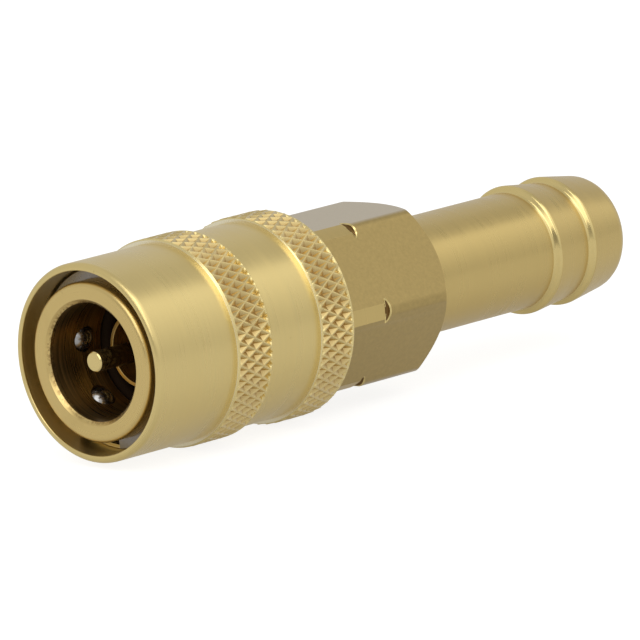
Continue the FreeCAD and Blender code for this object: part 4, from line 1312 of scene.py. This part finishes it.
def set_room(scene, size):
    """Room that is white to the camera, and in reflections an even grey that is darker in front of the mouth.

    A soft light above has a sharp far edge and fades towards the camera.
    """
    far_edge, fading, wall_behind = (101, 112), (116, 190), (78, 60)  # degrees about the axis, from +Y up
    dimmed = 0.47  # share of the soft light that is left towards the tail
    world = bpy.data.worlds.new("room")
    world.use_nodes = True
    world.node_tree.nodes.clear()
    g = Graph(world.node_tree)
    seen = g.node("ShaderNodeLightPath").outputs["Is Camera Ray"]
    x, y, z = g.separate(g.node("ShaderNodeTexCoord").outputs["Generated"])
    turn = g.math("ARCTAN2", z, y)

    def over(angles, *levels, kind="LINEAR"):
        return g.remap(turn, *map(math.radians, angles), *levels, kind=kind)

    fade = g.math("POWER", over(fading, 1.0, 0.0), 1.3)
    shape = g.math("MULTIPLY", over(far_edge, kind="SMOOTHSTEP"), fade)
    towards_tail = g.remap(x, 0.1, 0.75, size.key, dimmed * size.key)
    strength = g.math("MULTIPLY", towards_tail, g.remap(x, -0.8, -0.35))
    soft_light = g.math("MULTIPLY", shape, strength)
    room = g.remap(x, -0.95, -0.78, size.mouth, size.surround, "SMOOTHSTEP")
    behind = g.math("MULTIPLY", over(wall_behind), size.back)
    lit = g.math("ADD", g.math("ADD", room, behind), soft_light)
    level = g.remap(seen, 0.0, 1.0, lit, 1.0)
    background = g.node("ShaderNodeBackground", {"Color": WHITE, "Strength": level}).outputs[0]
    g.tree.links.new(background, g.node("ShaderNodeOutputWorld").inputs[0])
    scene.world = world


def add_fill_light(scene, size):
    """Soft light at the left of the camera, turned to the middle of the coupling."""
    middle = Vector((26.4, 0.0, 0.0)) * MM
    offset = Vector((-455.0, -165.0, 400.0)) * MM
    lamp = bpy.data.lights.new("fill_light", "AREA")
    lamp.shape = "RECTANGLE"
    lamp.size, lamp.size_y = 400.0 * MM, 600.0 * MM
    lamp.energy = size.fill
    light = bpy.data.objects.new("fill_light", lamp)
    light.location = middle + offset
    light.rotation_euler = (-offset).to_track_quat("-Z", "Y").to_euler()
    light.visible_camera = False
    scene.collection.objects.link(light)


def add_camera(scene, size):
    """Camera as in the photo: a long lens in front and to the left, a little above, slightly rolled."""
    azimuth, elevation, roll = (math.radians(a) for a in (-45.798, 11.661, 3.294))
    aim = Vector((26.442, 1.083, -1.754)) * MM
    distance = 666.845 * MM
    lens = bpy.data.cameras.new("camera")
    lens.lens = size.focal_length
    camera = bpy.data.objects.new("camera", lens)
    level = math.cos(elevation)
    back = Vector((math.sin(azimuth) * level, -math.cos(azimuth) * level, math.sin(elevation)))
    camera.location = aim + back * distance
    upright = (-back).to_track_quat("-Z", "Y").to_matrix().to_4x4()
    camera.rotation_euler = (upright @ Matrix.Rotation(-roll, 4, "Z")).to_euler()
    scene.collection.objects.link(camera)
    scene.camera = camera


class COUPLING_OT_stage(Operator):
    """Make the floor, the light and the camera"""

    bl_idname = "coupling.stage"
    bl_label = "Stage"

    def execute(self, context):
        scene = context.scene
        scene.view_settings.view_transform = "Standard"
        add_floor(scene.coupling_stage)
        for add in (set_room, add_fill_light, add_camera):
            add(scene, scene.coupling_stage)
        return {"FINISHED"}


OPERATORS = (
    COUPLING_OT_rear_body,
    COUPLING_OT_socket_body,
    COUPLING_OT_sleeve,
    COUPLING_OT_springs,
    COUPLING_OT_balls,
    COUPLING_OT_ring,
    COUPLING_OT_valve,
    COUPLING_OT_seals,
    COUPLING_OT_stage,
)

SETTINGS = {
    "coupling_body": BodySizes,
    "coupling_socket": SocketSizes,
    "coupling_sleeve": SleeveSizes,
    "coupling_valve": ValveSizes,
    "coupling_finish": Finish,
    "coupling_stage": Stage,
}


class COUPLING_PT_panel(Panel):
    """Sizes, finishes and steps of the coupling"""

    bl_idname = "COUPLING_PT_panel"
    bl_label = "Quick coupling"
    bl_space_type = "VIEW_3D"
    bl_region_type = "UI"
    bl_category = "Coupling"

    def draw(self, context):
        for operator in OPERATORS:
            self.layout.operator(operator.bl_idname)
        for name, group in SETTINGS.items():
            box = self.layout.box()
            box.label(text=group.__doc__)
            for item in group.__annotations__:
                box.prop(getattr(context.scene, name), item)


def register():
    for group in SETTINGS.values():
        bpy.utils.register_class(group)
    for name, group in SETTINGS.items():
        setattr(bpy.types.Scene, name, PointerProperty(type=group))
    for item in (*OPERATORS, COUPLING_PT_panel):
        bpy.utils.register_class(item)


def unregister():
    for item in (COUPLING_PT_panel, *reversed(OPERATORS)):
        bpy.utils.unregister_class(item)
    for name in SETTINGS:
        delattr(bpy.types.Scene, name)
    for group in reversed(SETTINGS.values()):
        bpy.utils.unregister_class(group)


def main():
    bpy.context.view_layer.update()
    register()
    for operator in OPERATORS:
        group, name = operator.bl_idname.split(".")
        getattr(getattr(bpy.ops, group), name)()


if __name__ == "__main__":
    main()
